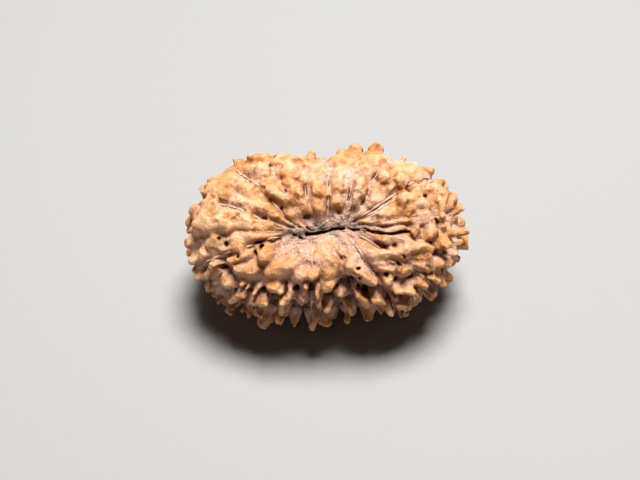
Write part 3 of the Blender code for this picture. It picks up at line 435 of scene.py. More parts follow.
def meridians(azimuths):
    """Lines on the bare body from the slit to the pore, one an azimuth: lines by samples by 3."""
    angle = np.linspace(0, math.pi, LINE_SAMPLES)[None, :]
    ring = np.sin(angle) ** (2 / PROFILE_POWER)
    height = np.sign(np.cos(angle)) * np.abs(np.cos(angle)) ** (2 / PROFILE_POWER)
    half, turn, offset = pole_line(height)
    azimuths = np.asarray(azimuths)
    spin = np.exp(1j * ((azimuths if azimuths.ndim == 2 else azimuths[:, None]) - turn))
    low = np.broadcast_to(half / 2, spin.shape).copy()
    high = np.full(spin.shape, HALF_LENGTH + SLIT_HALF_LENGTH)
    for _ in range(HALVINGS):
        middle = (low + high) / 2
        flat = (middle * spin + half ** 2 / (4 * middle * spin)) * np.exp(1j * turn)
        x = flat.real + offset
        y = flat.imag * HALF_WIDTH / HALF_LENGTH
        inside = ring_size(x, y) < ring
        low = np.where(inside, middle, low)
        high = np.where(inside, high, middle)
    ring_found = np.minimum(ring_size(x, y), 1)
    on_slit = ring_found > ring + 1e-6
    sunk_height = np.sign(height) * (1 - ring_found ** PROFILE_POWER) ** (1 / PROFILE_POWER)
    z = HALF_HEIGHT * np.where(on_slit, sunk_height, height)
    return np.stack([x, y, z], axis=2)


def suture_azimuths():
    """The sutures' azimuths round the slit, from those seen on the outline, in radians."""
    seen = np.radians(SUTURES)
    return np.unwrap(np.arctan2(np.sin(seen) / HALF_WIDTH, np.cos(seen) / HALF_LENGTH))


def spaced(line, step, start, end):
    """Places along a line, a step apart, from a start length to that much before its end."""
    lengths = np.concatenate([[0], np.cumsum(np.linalg.norm(np.diff(line, axis=0), axis=1))])
    count = max(2, round((lengths[-1] - start - end) / step) + 1)
    wanted = np.linspace(start, lengths[-1] - end, count)
    return np.stack([np.interp(wanted, lengths, line[:, k]) for k in range(3)], axis=1)


def settled(places):
    """Places drawn in at the waist and sunk at the poles."""
    x, y, z = places.T
    base = onto_body(places)
    _, reach = round_slit(base)
    middle = WAIST_MIDDLE + WAIST_SKEW * np.clip(y / HALF_WIDTH, -1, 1)
    waist = WAIST_DEPTH / HALF_WIDTH * np.exp(-(((x - middle) / WAIST_SPREAD) ** 2))
    sink = DIMPLE_DEPTH * np.exp(-((reach / DIMPLE_REACH) ** 2))
    blend = np.clip(0.5 + z / (0.4 * MM), 0, 1) * 2 - 1
    return np.stack([x, y * (1 - waist), z - blend * sink], axis=1)


def sight_axes():
    """Right, up and towards the viewer, in the seed's own frame."""
    right = np.array([math.cos(SEEN_SPIN), -math.sin(SEEN_SPIN) * math.cos(SEEN_TILT), 0.0])
    right[2] = -math.sin(SEEN_SPIN) * math.sin(SEEN_TILT)
    towards = np.array([0.0, -math.sin(SEEN_TILT), math.cos(SEEN_TILT)])
    return right, np.cross(towards, right), towards


def found_from_sight(seen, height):
    """Places on the bare body over which what stands at a height shows at the seen places."""
    right, up, towards = sight_axes()
    wanted = np.asarray(seen) * MM
    places = onto_body(wanted[:, :1] * right + wanted[:, 1:] * up + HALF_HEIGHT / 2 * towards)
    for _ in range(SIGHT_ROUNDS):
        tips = settled(places + outward(places) * height[:, None])
        nearer = 1 - (tips @ towards) / EYE_DISTANCE
        miss = wanted * nearer[:, None] - np.stack([tips @ right, tips @ up], axis=1)
        places = onto_body(places + SIGHT_STEP * (miss[:, :1] * right + miss[:, 1:] * up))
    return places


def on_ground(seen):
    """Places on the bare body that show at the seen places."""
    return found_from_sight(seen, np.zeros(len(seen)))


def tabled_knobs(knobs, ridges):
    """Starts, ends, and rows of foot radius and height, of knobs and ridges given as seen."""
    table = np.array([(*knob[:2], *knob) for knob in knobs] + list(ridges))
    to_end = table[:, 5] * MM - ROUND_END * table[:, 4] * MM
    starts, ends = (found_from_sight(table[:, first:first + 2], to_end) for first in (0, 2))
    return starts, ends, table[:, 4:] * MM


def tabled_pits(pits):
    """Pits given as seen, as rows of place, radius and depth."""
    table = np.array(pits)
    places = found_from_sight(table[:, :2], np.full(len(table), SEEN_PIT_LIFT))
    return np.column_stack([places, table[:, 2:] * MM])


def gap_to(places, starts, ends):
    """Distances from each place to each of the short lines between starts and ends."""
    run = ends - starts
    square = np.maximum((run ** 2).sum(axis=1), 1e-12)
    share = np.einsum("ijk,jk->ij", places[:, None, :] - starts[None], run) / square
    nearest = starts[None] + np.clip(share, 0, 1)[:, :, None] * run[None]
    return np.linalg.norm(places[:, None, :] - nearest, axis=2)


def leaning(draw, place):
    """A small random slant along the body at a place."""
    slant = draw.normal(0, KNOB_LEAN / 2, 3)
    normal = outward(place[None])[0]
    slant -= normal * (slant @ normal)
    return slant * min(1, KNOB_LEAN / max(np.linalg.norm(slant), 1e-9))


def facing(places):
    """Cosine of the angle between the body's normal and the line of sight: 0 on the outline."""
    towards = sight_axes()[2] * EYE_DISTANCE - places
    return (outward(places) * towards).sum(axis=1) / np.linalg.norm(towards, axis=1)


def seen_knobs(draw):
    """The knobs and ridges that stand out: rows of start, end, slant, foot radius and height."""
    starts, ends, sizes = tabled_knobs(SEEN_KNOBS, SEEN_RIDGES)
    slants = np.array([leaning(draw, place) for place in starts])
    return np.column_stack([starts, ends, slants, sizes])


def small_knobs():
    """The knobs and ridges too fine for the solid, in the same rows of numbers."""
    starts, ends, sizes = tabled_knobs(SMALL_KNOBS, SMALL_RIDGES)
    return np.column_stack([starts, ends, np.zeros_like(starts), sizes])


def rows_between(azimuths):
    """Azimuths of the rows of knobs on each rib, with the rib's width at the equator shared among them."""
    bounds = np.append(azimuths, azimuths[0] + 2 * math.pi)
    at_equator = meridians(bounds)[:, LINE_SAMPLES // 2]
    rows = []
    widths = np.linalg.norm(np.diff(at_equator, axis=0), axis=1)
    for low, high, width in zip(bounds, bounds[1:], widths):
        count = max(1, round(width / ROW_PITCH))
        rows += [low + (high - low) * (k + 0.5) / count for k in range(count)]
    return np.array(rows)


def ruled_knobs(draw, rows, knobs):
    """Knobs placed along the rows wherever there is room out of sight, added to those given."""
    for number, line in enumerate(meridians(rows)):
        start = draw.uniform(*FIRST_KNOB_REACH) + 0.5 * ROW_STEP * (number % 2)
        end = draw.uniform(*LAST_KNOB_REACH)
        for place in spaced(line, ROW_STEP * draw.uniform(*ROW_STEP_SPREAD), start, end):
            nudge = draw.normal(0, KNOB_NUDGE, 3)
            place = onto_body((place + nudge)[None])[0]
            _, reach = round_slit(place[None])
            growth = KNOB_POLE_SHARE + (1 - KNOB_POLE_SHARE) * min(1, reach[0] / KNOB_GROWTH_REACH)
            foot = draw.uniform(*KNOB_FOOT) * (1 + growth) / 2
            height = draw.uniform(*KNOB_HEIGHT) * growth
            slant = leaning(draw, place)
            past_edge = (SIGHT_EDGE - facing(place[None])[0]) / EDGE_REACH
            height *= EDGE_SHARE + (1 - EDGE_SHARE) * min(1, max(0, past_edge))
            gaps = gap_to(place[None], knobs[:, :3], knobs[:, 3:6])[0]
            if past_edge > 0 and (gaps > KNOB_CROWDING * (foot + knobs[:, 9])).all():
                knobs = np.vstack([knobs, [*place, *place, *slant, foot, height]])
    return knobs


def all_pits(draw, rows, knobs):
    """Pits as rows of place, radius and depth: those seen, then others out of sight between the rows."""
    pits = tabled_pits(SEEN_PITS)
    between = (rows + np.roll(rows, -1)) / 2
    between[-1] += math.pi
    for line in meridians(between):
        for place in spaced(line, ROW_STEP, draw.uniform(*PIT_START), PIT_END):
            depth = draw.uniform(*PIT_DEPTH)
            chosen = draw.uniform() < PIT_CHANCE
            clear = gap_to(place[None], knobs[:, :3], knobs[:, 3:6])[0] > PIT_CLEARANCE * knobs[:, 9]
            alone = np.linalg.norm(pits[:, :3] - place, axis=1) > PIT_SPACING
            if chosen and clear.all() and alone.all() and facing(place[None])[0] < SIGHT_EDGE:
                pits = np.vstack([pits, [*place, PIT_RADIUS, depth]])
    return pits


def stance():
    """Turns the seed's own frame to the way it lies."""
    lie_right = np.array([1.0, 0.0, 0.0])
    lie_towards = np.array([0.0, -math.cos(EYE_ELEVATION), math.sin(EYE_ELEVATION)])
    lie_up = np.cross(lie_towards, lie_right)
    return np.stack([lie_right, lie_up, lie_towards], axis=1) @ np.stack(sight_axes())


class Grain:
    """Smooth random lumps in space, the same each time for the same number."""

    SIDE = 61

    def __init__(self, number):
        self.table = np.random.default_rng(number).random((self.SIDE,) * 3).astype(np.float32)

    def at(self, places, size):
        """Values from -1 to 1 at places, in lumps of a size: one number for all axes, or one for each."""
        cells = places / np.asarray(size)
        low = np.floor(cells)
        part = (cells - low).astype(np.float32)
        part = part * part * (3 - 2 * part)
        low = low.astype(np.int32)
        first = [np.mod(low[:, k], self.SIDE) for k in range(3)]
        second = [np.mod(low[:, k] + 1, self.SIDE) for k in range(3)]
        total = np.zeros(len(places), np.float32)
        for corner in range(8):
            picks = [second[k] if corner >> k & 1 else first[k] for k in range(3)]
            shares = [part[:, k] if corner >> k & 1 else 1 - part[:, k] for k in range(3)]
            total += self.table[picks[0], picks[1], picks[2]] * shares[0] * shares[1] * shares[2]
        return 2 * total - 1


def rising(value, low, high):
    """Share from 0 to 1 as a value goes from low to high, whichever is the greater."""
    return np.clip((value - low) / (high - low), 0, 1)


def between(pair, share):
    """The number that lies at a share of the way between two."""
    return pair[0] + (pair[1] - pair[0]) * share


def joined(first, second, blend):
    """Union of two shapes' distances with a fillet."""
    near = np.maximum(blend - np.abs(first - second), 0) / blend
    return np.minimum(first, second) - near * near * blend / 4


def cut_away(shape, cutter, blend):
    """A shape's distances with a cutter's taken out of it and the edge rounded."""
    return -joined(-shape, cutter, blend)


def nearest_line(turn, lines):
    """Number of the nearest azimuth of a sorted list that goes round once, and how far past it."""
    spot = np.searchsorted(lines, turn)
    low = np.clip(spot - 1, 0, len(lines) - 1)
    high = np.clip(spot, 0, len(lines) - 1)
    closer = np.abs(turn - lines[low]) < np.abs(lines[high] - turn)
    number = np.where(closer, low, high)
    return number, turn - lines[number]


def bend_at(turn, reach):
    """How far a suture is turned, near the slit, from its azimuth further out."""
    return SUTURE_BEND * np.exp(-((reach / BEND_REACH) ** 2)) * np.sin(2 * turn)


def suture_lines(azimuths):
    """Lines along the sutures from the slit to the pore, bent near both: lines by samples by 3."""
    straight = meridians(azimuths)
    _, reach = round_slit(straight.reshape(-1, 3))
    reach = reach.reshape(straight.shape[:2])
    turn = np.broadcast_to(np.asarray(azimuths)[:, None], reach.shape)
    for _ in range(BEND_ROUNDS):
        turn = np.asarray(azimuths)[:, None] - bend_at(turn, reach)
    return meridians(turn)


def rib_relief(base, azimuths, rows):
    """Height of the ribs, the depth of the sunk sutures, and the distance from the nearest suture."""
    turn, reach = round_slit(base)
    turn = turn + bend_at(turn, reach)
    turn = azimuths[0] + np.mod(turn - azimuths[0], 2 * math.pi)
    bounds = np.append(azimuths, azimuths[0] + 2 * math.pi)
    rib = np.clip(np.searchsorted(bounds, turn, side="right") - 1, 0, len(azimuths) - 1)
    share = (turn - bounds[rib]) / (bounds[rib + 1] - bounds[rib])
    crest = np.sin(math.pi * np.clip(share, 0, 1))
    strength = np.interp(turn, (bounds[:-1] + bounds[1:]) / 2, RIB_SHARES, period=2 * math.pi)
    strength = strength + (FAR_SHARE - strength) * rising(base[:, 2], *FAR_CHANGE)
    inner, outer = POLE_RIDGE_REACH
    window = rising(reach, 0, inner) * rising(reach, 2 * outer, outer)
    height = POLE_RIDGE * strength * window * (crest - POLE_RIDGE_LEVEL)
    height += RIB_RELIEF * (0.5 + 0.5 * strength) * rising(reach, 0, outer) * (crest - RIB_LEVEL)
    order = np.sort(np.mod(rows - azimuths[0], 2 * math.pi)) + azimuths[0]
    _, to_row = nearest_line(turn, order)
    strip = 2 * math.pi / len(order)
    row_crest = np.sin(math.pi * np.clip(0.5 + np.abs(to_row) / strip, 0, 1)) ** ROW_CREST_POWER
    height += ROW_RELIEF * rising(reach, *ROW_REACH) * (row_crest - ROW_LEVEL)
    nearest, off = nearest_line(turn, bounds)
    off = off * np.maximum(reach * HALF_WIDTH / HALF_LENGTH, LEAST_REACH)
    long_wave, short_wave = (reach / wave for wave in SUTURE_WAVES)
    wander = np.sin(long_wave + nearest) + 0.5 * np.sin(short_wave + 2.0 * nearest)
    away = np.abs(off - SUTURE_WANDER * wander)
    vale = VALE_DEPTH * rising(reach, 0, VALE_START) * np.exp(-((away / VALE_HALF_WIDTH) ** 2))
    cleft = np.zeros(len(base))
    long_wave, short_wave = (reach / wave for wave in CLEFT_WAVES)
    for number, depth, start, end in CLEFTS:
        window = rising(reach, start, start + CLEFT_ENDS[0]) * rising(reach, end, end - CLEFT_ENDS[1])
        near = (nearest % len(azimuths) == number) & (base[:, 2] > 0)
        width = CLEFT_HALF_WIDTH * (1 + 0.5 * np.sin(long_wave + number) * np.sin(short_wave))
        cleft += near * depth * window * np.exp(-((away / width) ** 2))
    return height - vale, cleft, away


class Field:
    """Signed distances to the seed's fine surface on a grid, in the seed's own frame before it is settled."""

    def __init__(self, sizes):
        self.step = sizes.fineness
        reach = np.array([HALF_LENGTH, HALF_WIDTH, HALF_HEIGHT]) + FIELD_MARGIN
        self.counts = np.ceil(2 * reach / self.step).astype(int)
        self.low = -self.step * (self.counts - 1) / 2
        axes = [self.low[k] + self.step * np.arange(self.counts[k]) for k in range(3)]
        flat_part = ring_size(axes[0][:, None], axes[1][None, :]) ** PROFILE_POWER
        size = flat_part[:, :, None] + np.abs(axes[2] / HALF_HEIGHT)[None, None, :] ** PROFILE_POWER
        size = np.maximum(size, 1e-9) ** (1 / PROFILE_POWER)
        spread = axes[0][:, None, None] ** 2 + axes[1][:, None] ** 2 + axes[2] ** 2
        radial = np.sqrt(spread) * (1 - 1 / size)
        self.band = np.flatnonzero((radial > BAND[0]) & (radial < BAND[1]))
        self.number = np.full(size.size, -1, np.int32)
        self.number[self.band] = np.arange(len(self.band), dtype=np.int32)
        self.number = self.number.reshape(self.counts)
        cells = np.stack(np.unravel_index(self.band, self.counts), axis=1)
        self.places = (self.low + cells * self.step).astype(np.float32)
        self.values = np.where(size > 1, BAND[1], BAND[0]).astype(np.float32)

    def around(self, middle, reach):
        """Numbers of the band's places in a box round a middle."""
        low = np.maximum(np.floor((middle - reach - self.low) / self.step).astype(int), 0)
        high = np.ceil((middle + reach - self.low) / self.step).astype(int) + 1
        high = np.minimum(high, self.counts)
        chosen = self.number[low[0]:high[0], low[1]:high[1], low[2]:high[2]].ravel()
        return chosen[chosen >= 0]

    def sampled(self, places):
        """Distances at places, straight between the grid's own."""
        cells = np.clip((places - self.low) / self.step, 0, self.counts - 1.001)
        low = cells.astype(int)
        part = cells - low
        total = np.zeros(len(places))
        for corner in range(8):
            bits = [corner >> k & 1 for k in range(3)]
            share = np.prod([part[:, k] if bits[k] else 1 - part[:, k] for k in range(3)], axis=0)
            total += self.values[low[:, 0] + bits[0], low[:, 1] + bits[1], low[:, 2] + bits[2]] * share
        return total

    def slopes(self, places):
        """Unit directions in which the distance grows."""
        steps = np.eye(3) * self.step
        grown = [self.sampled(places + step) - self.sampled(places - step) for step in steps]
        grown = np.stack(grown, axis=1)
        return grown / np.maximum(np.linalg.norm(grown, axis=1), 1e-12)[:, None]


def standing(places):
    """Foot of each place on the bare body, the normal there, and the place's height over it."""
    base = onto_body(places)
    for _ in range(2):
        normal = outward(base)
        height = ((places - base) * normal).sum(axis=1)
        base = onto_body(places - height[:, None] * normal)
    normal = outward(base)
    return base, normal, ((places - base) * normal).sum(axis=1)


def lowness(across):
    """Share from 0 to 1 by how far a place lies to the side that is low when the seed is seen."""
    return rising(across, *LOWER_FROM)


def knob_distance(places, knob, tip_share, foot_share, flank):
    """Distances to one knob: a blunt peg, drawn out along its ridge."""
    start, end, slant, foot, height = knob[:3], knob[3:6], knob[6:9], knob[9], knob[10]
    run = end - start
    length = np.linalg.norm(run)
    if length > 0:
        along = np.clip((places - start) @ (run / length), 0, length)
        places = places - along[:, None] * (run / length)
    normal = outward(((start + end) / 2)[None])[0]
    tip_radius = tip_share * foot
    axis = normal * (height - tip_radius) + slant * height
    stretch = np.linalg.norm(axis)
    axis = axis / stretch
    share = (places - start) @ axis / stretch
    clipped = np.clip(share, -KNOB_ROOT / stretch, 1)
    radius = tip_radius + (foot_share * foot - tip_radius) * (1 - np.clip(clipped, 0, 1)) ** flank
    return np.linalg.norm(places - start - (clipped * stretch)[:, None] * axis, axis=1) - radius


def pit_distance(places, pit):
    """Distances to the hollow of one pit."""
    normal = outward(pit[None, :3])[0]
    offset = places - pit[:3] - normal * PIT_LIFT
    rise = offset @ normal
    across = np.linalg.norm(offset - rise[:, None] * normal, axis=1)
    radius, depth = PIT_WIDTH_SHARE * pit[3], between(PIT_DEPTH_SHARE, lowness(pit[1])) * pit[4]
    return (np.sqrt((across / radius) ** 2 + (rise / depth) ** 2) - 1) * radius


def pore_distance(base, height, ragged):
    """Distances to the small pore at the far pole."""
    flat, half, _ = slit_plane(base)
    across = np.abs(flat.imag) * HALF_WIDTH / HALF_LENGTH
    along = np.abs(flat.real) / half
    width = PORE_WIDTH * (1 - np.clip(along, 0, 1.2) ** 3) + ragged
    depth = PORE_DEPTH * (1 - 0.5 * np.clip(along, 0, 1))
    outside = np.maximum((along - PORE_LENGTH_SHARE) * half, base[:, 2])
    return np.maximum(np.maximum(across - width, -(height + depth)), outside)


def tear_distance(base, height, start, end, half_width, depth):
    """Distances to one straight tear that goes down from the body's surface."""
    run = end - start
    share = np.clip((base - start) @ run / (run @ run), 0, 1)
    across = np.linalg.norm(base - start - share[:, None] * run, axis=1)
    return np.maximum(across - half_width, -(height + depth))


def fill_field(field, knobs, pits, azimuths, rows):
    """Works out the seed's surface from its ribs, knobs, pits and slit."""
    grains = [Grain(number) for number in GRAIN_NUMBERS]
    shift, lump = WARP
    warp = np.stack([grain.at(field.places, lump) for grain in grains[:3]], axis=1)
    bent = field.places + shift * warp
    base, _, height = standing(bent.astype(np.float64))
    relief, cut, _ = rib_relief(base, azimuths, rows)
    turn, reach = round_slit(base)

    knob_field = np.full(len(bent), BAND[1], np.float32)
    draw = np.random.default_rng(KNOB_DRAW)
    for knob in knobs:
        middle = (knob[:3] + knob[3:6]) / 2
        span = np.linalg.norm(knob[3:6] - knob[:3]) / 2 + knob[9] + knob[10] + KNOB_WINDOW
        chosen = field.around(middle, span)
        slim = rising(knob[10] / knob[9], *SLIMNESS)
        tip_share = draw.uniform(*BLUNT_TIP) * (1 - slim) + draw.uniform(*SLIM_TIP) * slim
        foot_share = between(FOOT_SHARE, lowness(middle[1]))
        distance = knob_distance(bent[chosen], knob, tip_share, foot_share, draw.uniform(*FLANK_POWER))
        knob_field[chosen] = joined(knob_field[chosen], distance, NEIGHBOUR_BLEND)

    lower = lowness(base[:, 1])
    relief += GROUND_RISE * rising(facing(base), 0, RISE_FACING) * rising(reach, *RISE_REACH) * (1 - lower)
    swells = np.array(SWELLS)
    for middle, (spread, rise) in zip(on_ground(swells[:, :2]), swells[:, 2:] * MM):
        chosen = field.around(middle, SWELL_WINDOW * spread)
        gap = ((base[chosen] - middle) ** 2).sum(axis=1)
        relief[chosen] += rise * np.exp(-gap / spread ** 2)
    open_ground = rising(knob_field, OPEN_FROM, OPEN_FROM + between(OPEN_REACH, lower))
    open_ground *= between((SINK_AT_POLE, 1), rising(reach, *SINK_REACH))
    ground = height - relief + VALLEY_SINK * lower * open_ground
    distance = joined(ground, knob_field, between(KNOB_BLEND, lower))
    for grain, (amount, size) in zip(grains[4:], LUMPS):
        distance = distance + amount * grain.at(field.places, size)
    for pit in pits:
        chosen = field.around(pit[:3], PIT_WINDOW)
        distance[chosen] = cut_away(distance[chosen], pit_distance(bent[chosen], pit), PIT_BLEND)
    distance = distance + cut * rising(distance, *CLEFT_FROM)
    streaks = np.stack([turn * WRINKLES_ROUND, reach / WRINKLE_LENGTH, 0 * turn], axis=1)
    distance = distance - WRINKLE * grains[8].at(streaks, 1.0) * rising(knob_field, 0, WRINKLE_FROM_KNOB)
    ragged = PORE_RAGGED[0] * grains[3].at(field.places, PORE_RAGGED[1])
    distance = cut_away(distance, pore_distance(base, height, ragged), SLIT_BLEND)
    bend = np.stack([grain.at(field.places, TEAR_BEND[1]) for grain in grains[5:8]], axis=1)
    bend *= TEAR_BEND[0]
    edge = grains[9].at(field.places, TEAR_EDGE[1]) * TEAR_EDGE[0]
    tears = np.array(TEARS)
    ends = zip(on_ground(tears[:, :2]), on_ground(tears[:, 2:4]))
    for (start, end), (half_width, depth) in zip(ends, tears[:, 4:] * MM):
        chosen = field.around((start + end) / 2, np.linalg.norm(end - start) / 2 + depth + TEAR_WINDOW)
        gap = tear_distance(base[chosen] + bend[chosen], height[chosen], start, end, half_width, depth)
        distance[chosen] = cut_away(distance[chosen], gap + edge[chosen], SLIT_BLEND)
    field.values.ravel()[field.band] = distance


def surface_of(field):
    """Corners and four-sided faces of the field's surface, in the seed's own frame."""
    volume = openvdb.FloatGrid(float(BAND[1]))
    volume.copyFromArray(field.values)
    points, quads = volume.convertToQuads(0.0)
    return field.low + points.astype(np.float64) * field.step, quads


def largest_part(count, quads):
    """The faces of the one body that holds most of the corners, without loose crumbs."""
    label = np.arange(count)
    while True:
        lowest = label[quads].min(axis=1)
        before = label.copy()
        for side in range(4):
            np.minimum.at(label, quads[:, side], lowest)
        label = label[label]
        if (label == before).all():
            break
    kept = np.bincount(label).argmax()
    return quads[label[quads[:, 0]] == kept]


def packed(points, quads):
    """Corners in use, and faces that count them afresh."""
    used, fresh = np.unique(quads, return_inverse=True)
    return points[used], fresh.reshape(quads.shape)


def thinned(points, quads, triangles):
    """The same surface with fewer, unequal triangles where it is flattest."""
    mesh = bpy.data.meshes.new("thinning")
    mesh.from_pydata(points / MM, [], quads)
    holder = bpy.data.objects.new("thinning", mesh)
    bpy.context.scene.collection.objects.link(holder)
    fewer = holder.modifiers.new("fewer", "DECIMATE")
    fewer.ratio = triangles / (2 * len(quads))
    shown = holder.evaluated_get(bpy.context.evaluated_depsgraph_get()).to_mesh()
    shown.calc_loop_triangles()
    corners = np.empty(len(shown.vertices) * 3, np.float32)
    faces = np.empty(len(shown.loop_triangles) * 3, np.int32)
    shown.vertices.foreach_get("co", corners)
    shown.loop_triangles.foreach_get("vertices", faces)
    bpy.data.objects.remove(holder)
    bpy.data.meshes.remove(mesh)
    return corners.reshape(-1, 3).astype(float) * MM, faces.reshape(-1, 3)


def relaxed(points, quads):
    """Corners eased towards their neighbours' middle, to take off the grid's steps."""
    ends = np.concatenate([quads[:, [side, (side + 1) % 4]] for side in range(4)])
    counts = np.bincount(ends.ravel(), minlength=len(points))
    total = np.zeros_like(points)
    np.add.at(total, ends[:, 0], points[ends[:, 1]])
    np.add.at(total, ends[:, 1], points[ends[:, 0]])
    return points + EASE_SHARE * (total / counts[:, None] - points)


def placed(places):
    """Places from the seed's own frame to where the solid lies."""
    turned = settled(places) @ stance().T
    return turned + made["shift"]


def find_shift(knobs):
    """Moves the fine seed so that its furthest knobs meet the solid's box."""
    tops = np.vstack([knobs[:, :3], knobs[:, 3:6]])
    heights = np.tile(knobs[:, 10], 2)[:, None]
    tips = tops + (outward(tops) + np.tile(knobs[:, 6:9], (2, 1))) * heights
    tips = settled(tips) @ stance().T
    low, high = (np.array(corner) for corner in cad_box)
    middle = (low + high) / 2 - (tips.min(axis=0) + tips.max(axis=0)) / 2
    middle[2] = high[2] - tips[:, 2].max()
    return middle


def kept_in_box(points):
    """Places held inside the solid's box, so that the lowest knobs are worn level with the floor."""
    low, high = (np.array(corner) for corner in cad_box)
    low = low + np.array([BOX_EASE, BOX_EASE, 0])
    return np.clip(points, low, high - BOX_EASE)


def mesh_from(name, points, faces, values):
    """A smooth-shaded mesh with one number a corner for each named value."""
    mesh = bpy.data.meshes.new(name)
    mesh.vertices.add(len(points))
    mesh.vertices.foreach_set("co", points.astype(np.float32).ravel())
    sides = faces.shape[1]
    mesh.loops.add(faces.size)
    mesh.loops.foreach_set("vertex_index", faces.astype(np.int32).ravel())
    mesh.polygons.add(len(faces))
    mesh.polygons.foreach_set("loop_start", np.arange(0, faces.size, sides, dtype=np.int32))
    mesh.update(calc_edges=True)
    for value_name, numbers in values.items():
        layer = mesh.attributes.new(value_name, "FLOAT", "POINT")
        layer.data.foreach_set("value", numbers.astype(np.float32))
    mesh.polygons.foreach_set("use_smooth", np.ones(len(faces), bool))
    mesh.validate()
    return mesh


def surface_values(field, points, azimuths, rows):
    """Numbers for the finish: height on the knobs, openness to light, and closeness to sutures and poles."""
    base, _, height = standing(points)
    slopes = field.slopes(points)
    openness = np.zeros(len(points))
    for reach in LOOK_OUT:
        openness += rising(field.sampled(points + slopes * reach), 0, reach) / len(LOOK_OUT)
    turn, from_slit = round_slit(base)
    _, _, away = rib_relief(base, azimuths, rows)
    near = base[:, 2] > 0
    slit_end = SLIT_HALF_LENGTH * np.array([math.cos(SLIT_TURN), math.sin(SLIT_TURN)])
    along = np.clip(base[:, :2] @ slit_end / SLIT_HALF_LENGTH ** 2, -1, 1)
    outwards = base[:, :2] - along[:, None] * slit_end
    outwards /= np.maximum(np.linalg.norm(outwards, axis=1), 0.1 * MM)[:, None]
    inward = -(slopes[:, :2] * outwards).sum(axis=1)
    inward = rising(inward, *INWARD) * near * between((1, INWARD_LOWER), lowness(base[:, 1]))
    return {
        "inward": inward * rising(from_slit, *INWARD_START) * rising(from_slit, *INWARD_END),
        "rise": height / MM,
        "open": openness,
        "seam": np.exp(-((away / SEAM_WIDTH) ** 2)),
        "pole": np.exp(-((from_slit / POLE_WIDTH) ** 2)) * np.where(near, 1.0, FAR_POLE_SHARE),
        "slit": np.exp(-((from_slit / SLIT_WIDTH) ** 2)),
        "turn": turn,
        "reach": np.where(near, from_slit, 2 * HALF_LENGTH - from_slit) / MM,
    }


def link_to_view(obj):
    """Puts an object in the scene and gives it back."""
    bpy.context.scene.collection.objects.link(obj)
    return obj


class Nodes:
    """Short calls for laying out a material's nodes."""

    def __init__(self, name):
        self.material = bpy.data.materials.new(name)
        self.material.use_nodes = True
        self.tree = self.material.node_tree
        self.shader = self.tree.nodes["Principled BSDF"]

    def add(self, kind, **inputs):
        """A node of a kind with its sockets set or linked by name."""
        node = self.tree.nodes.new(kind)
        for socket, value in inputs.items():
            self.put(node, socket.replace("_", " "), value)
        return node

    def dress(self, **inputs):
        """Sets or links the sockets of the material's shader by name."""
        for socket, value in inputs.items():
            self.put(self.shader, socket.replace("_", " "), value)

    def put(self, node, socket, value):
        """Sets a socket to a value, or links it to another socket."""
        if isinstance(value, bpy.types.NodeSocket):
            self.tree.links.new(value, node.inputs[socket])
        else:
            node.inputs[socket].default_value = value

    def value(self, name):
        """A number stored on the mesh's corners."""
        node = self.tree.nodes.new("ShaderNodeAttribute")
        node.attribute_name = name
        return node.outputs["Fac"]

    def ramp(self, value, low, high, start=0.0, end=1.0):
        """A smooth step from start to end as the value goes from low to high."""
        node = self.tree.nodes.new("ShaderNodeMapRange")
        node.interpolation_type = "SMOOTHSTEP"
        names = ("From Min", "From Max", "To Min", "To Max", "Value")
        for socket, number in zip(names, (low, high, start, end, value)):
            self.put(node, socket, number)
        return node.outputs["Result"]

    def maths(self, kind, *values):
        """One step of arithmetic."""
        node = self.tree.nodes.new("ShaderNodeMath")
        node.operation = kind
        for number, value in enumerate(values):
            self.put(node, number, value)
        return node.outputs["Value"]

    def times(self, first, second):
        """A product."""
        return self.maths("MULTIPLY", first, second)

    def plus(self, first, second):
        """A sum."""
        return self.maths("ADD", first, second)

    def mixed(self, share, first, second):
        """Two colours mixed by a share."""
        node = self.tree.nodes.new("ShaderNodeMix")
        node.data_type = "RGBA"
        self.put(node, 0, share)
        for number, value in ((6, first), (7, second)):
            self.put(node, number, value if isinstance(value, bpy.types.NodeSocket) else (*value, 1.0))
        return node.outputs[2]

    def noise(self, vector, scale, detail=3.0, roughness=0.55):
        """Random lumps, so many to the metre, in a place's coordinates."""
        return self.add("ShaderNodeTexNoise", Vector=vector, Scale=scale, Detail=detail,
                        Roughness=roughness).outputs["Fac"]


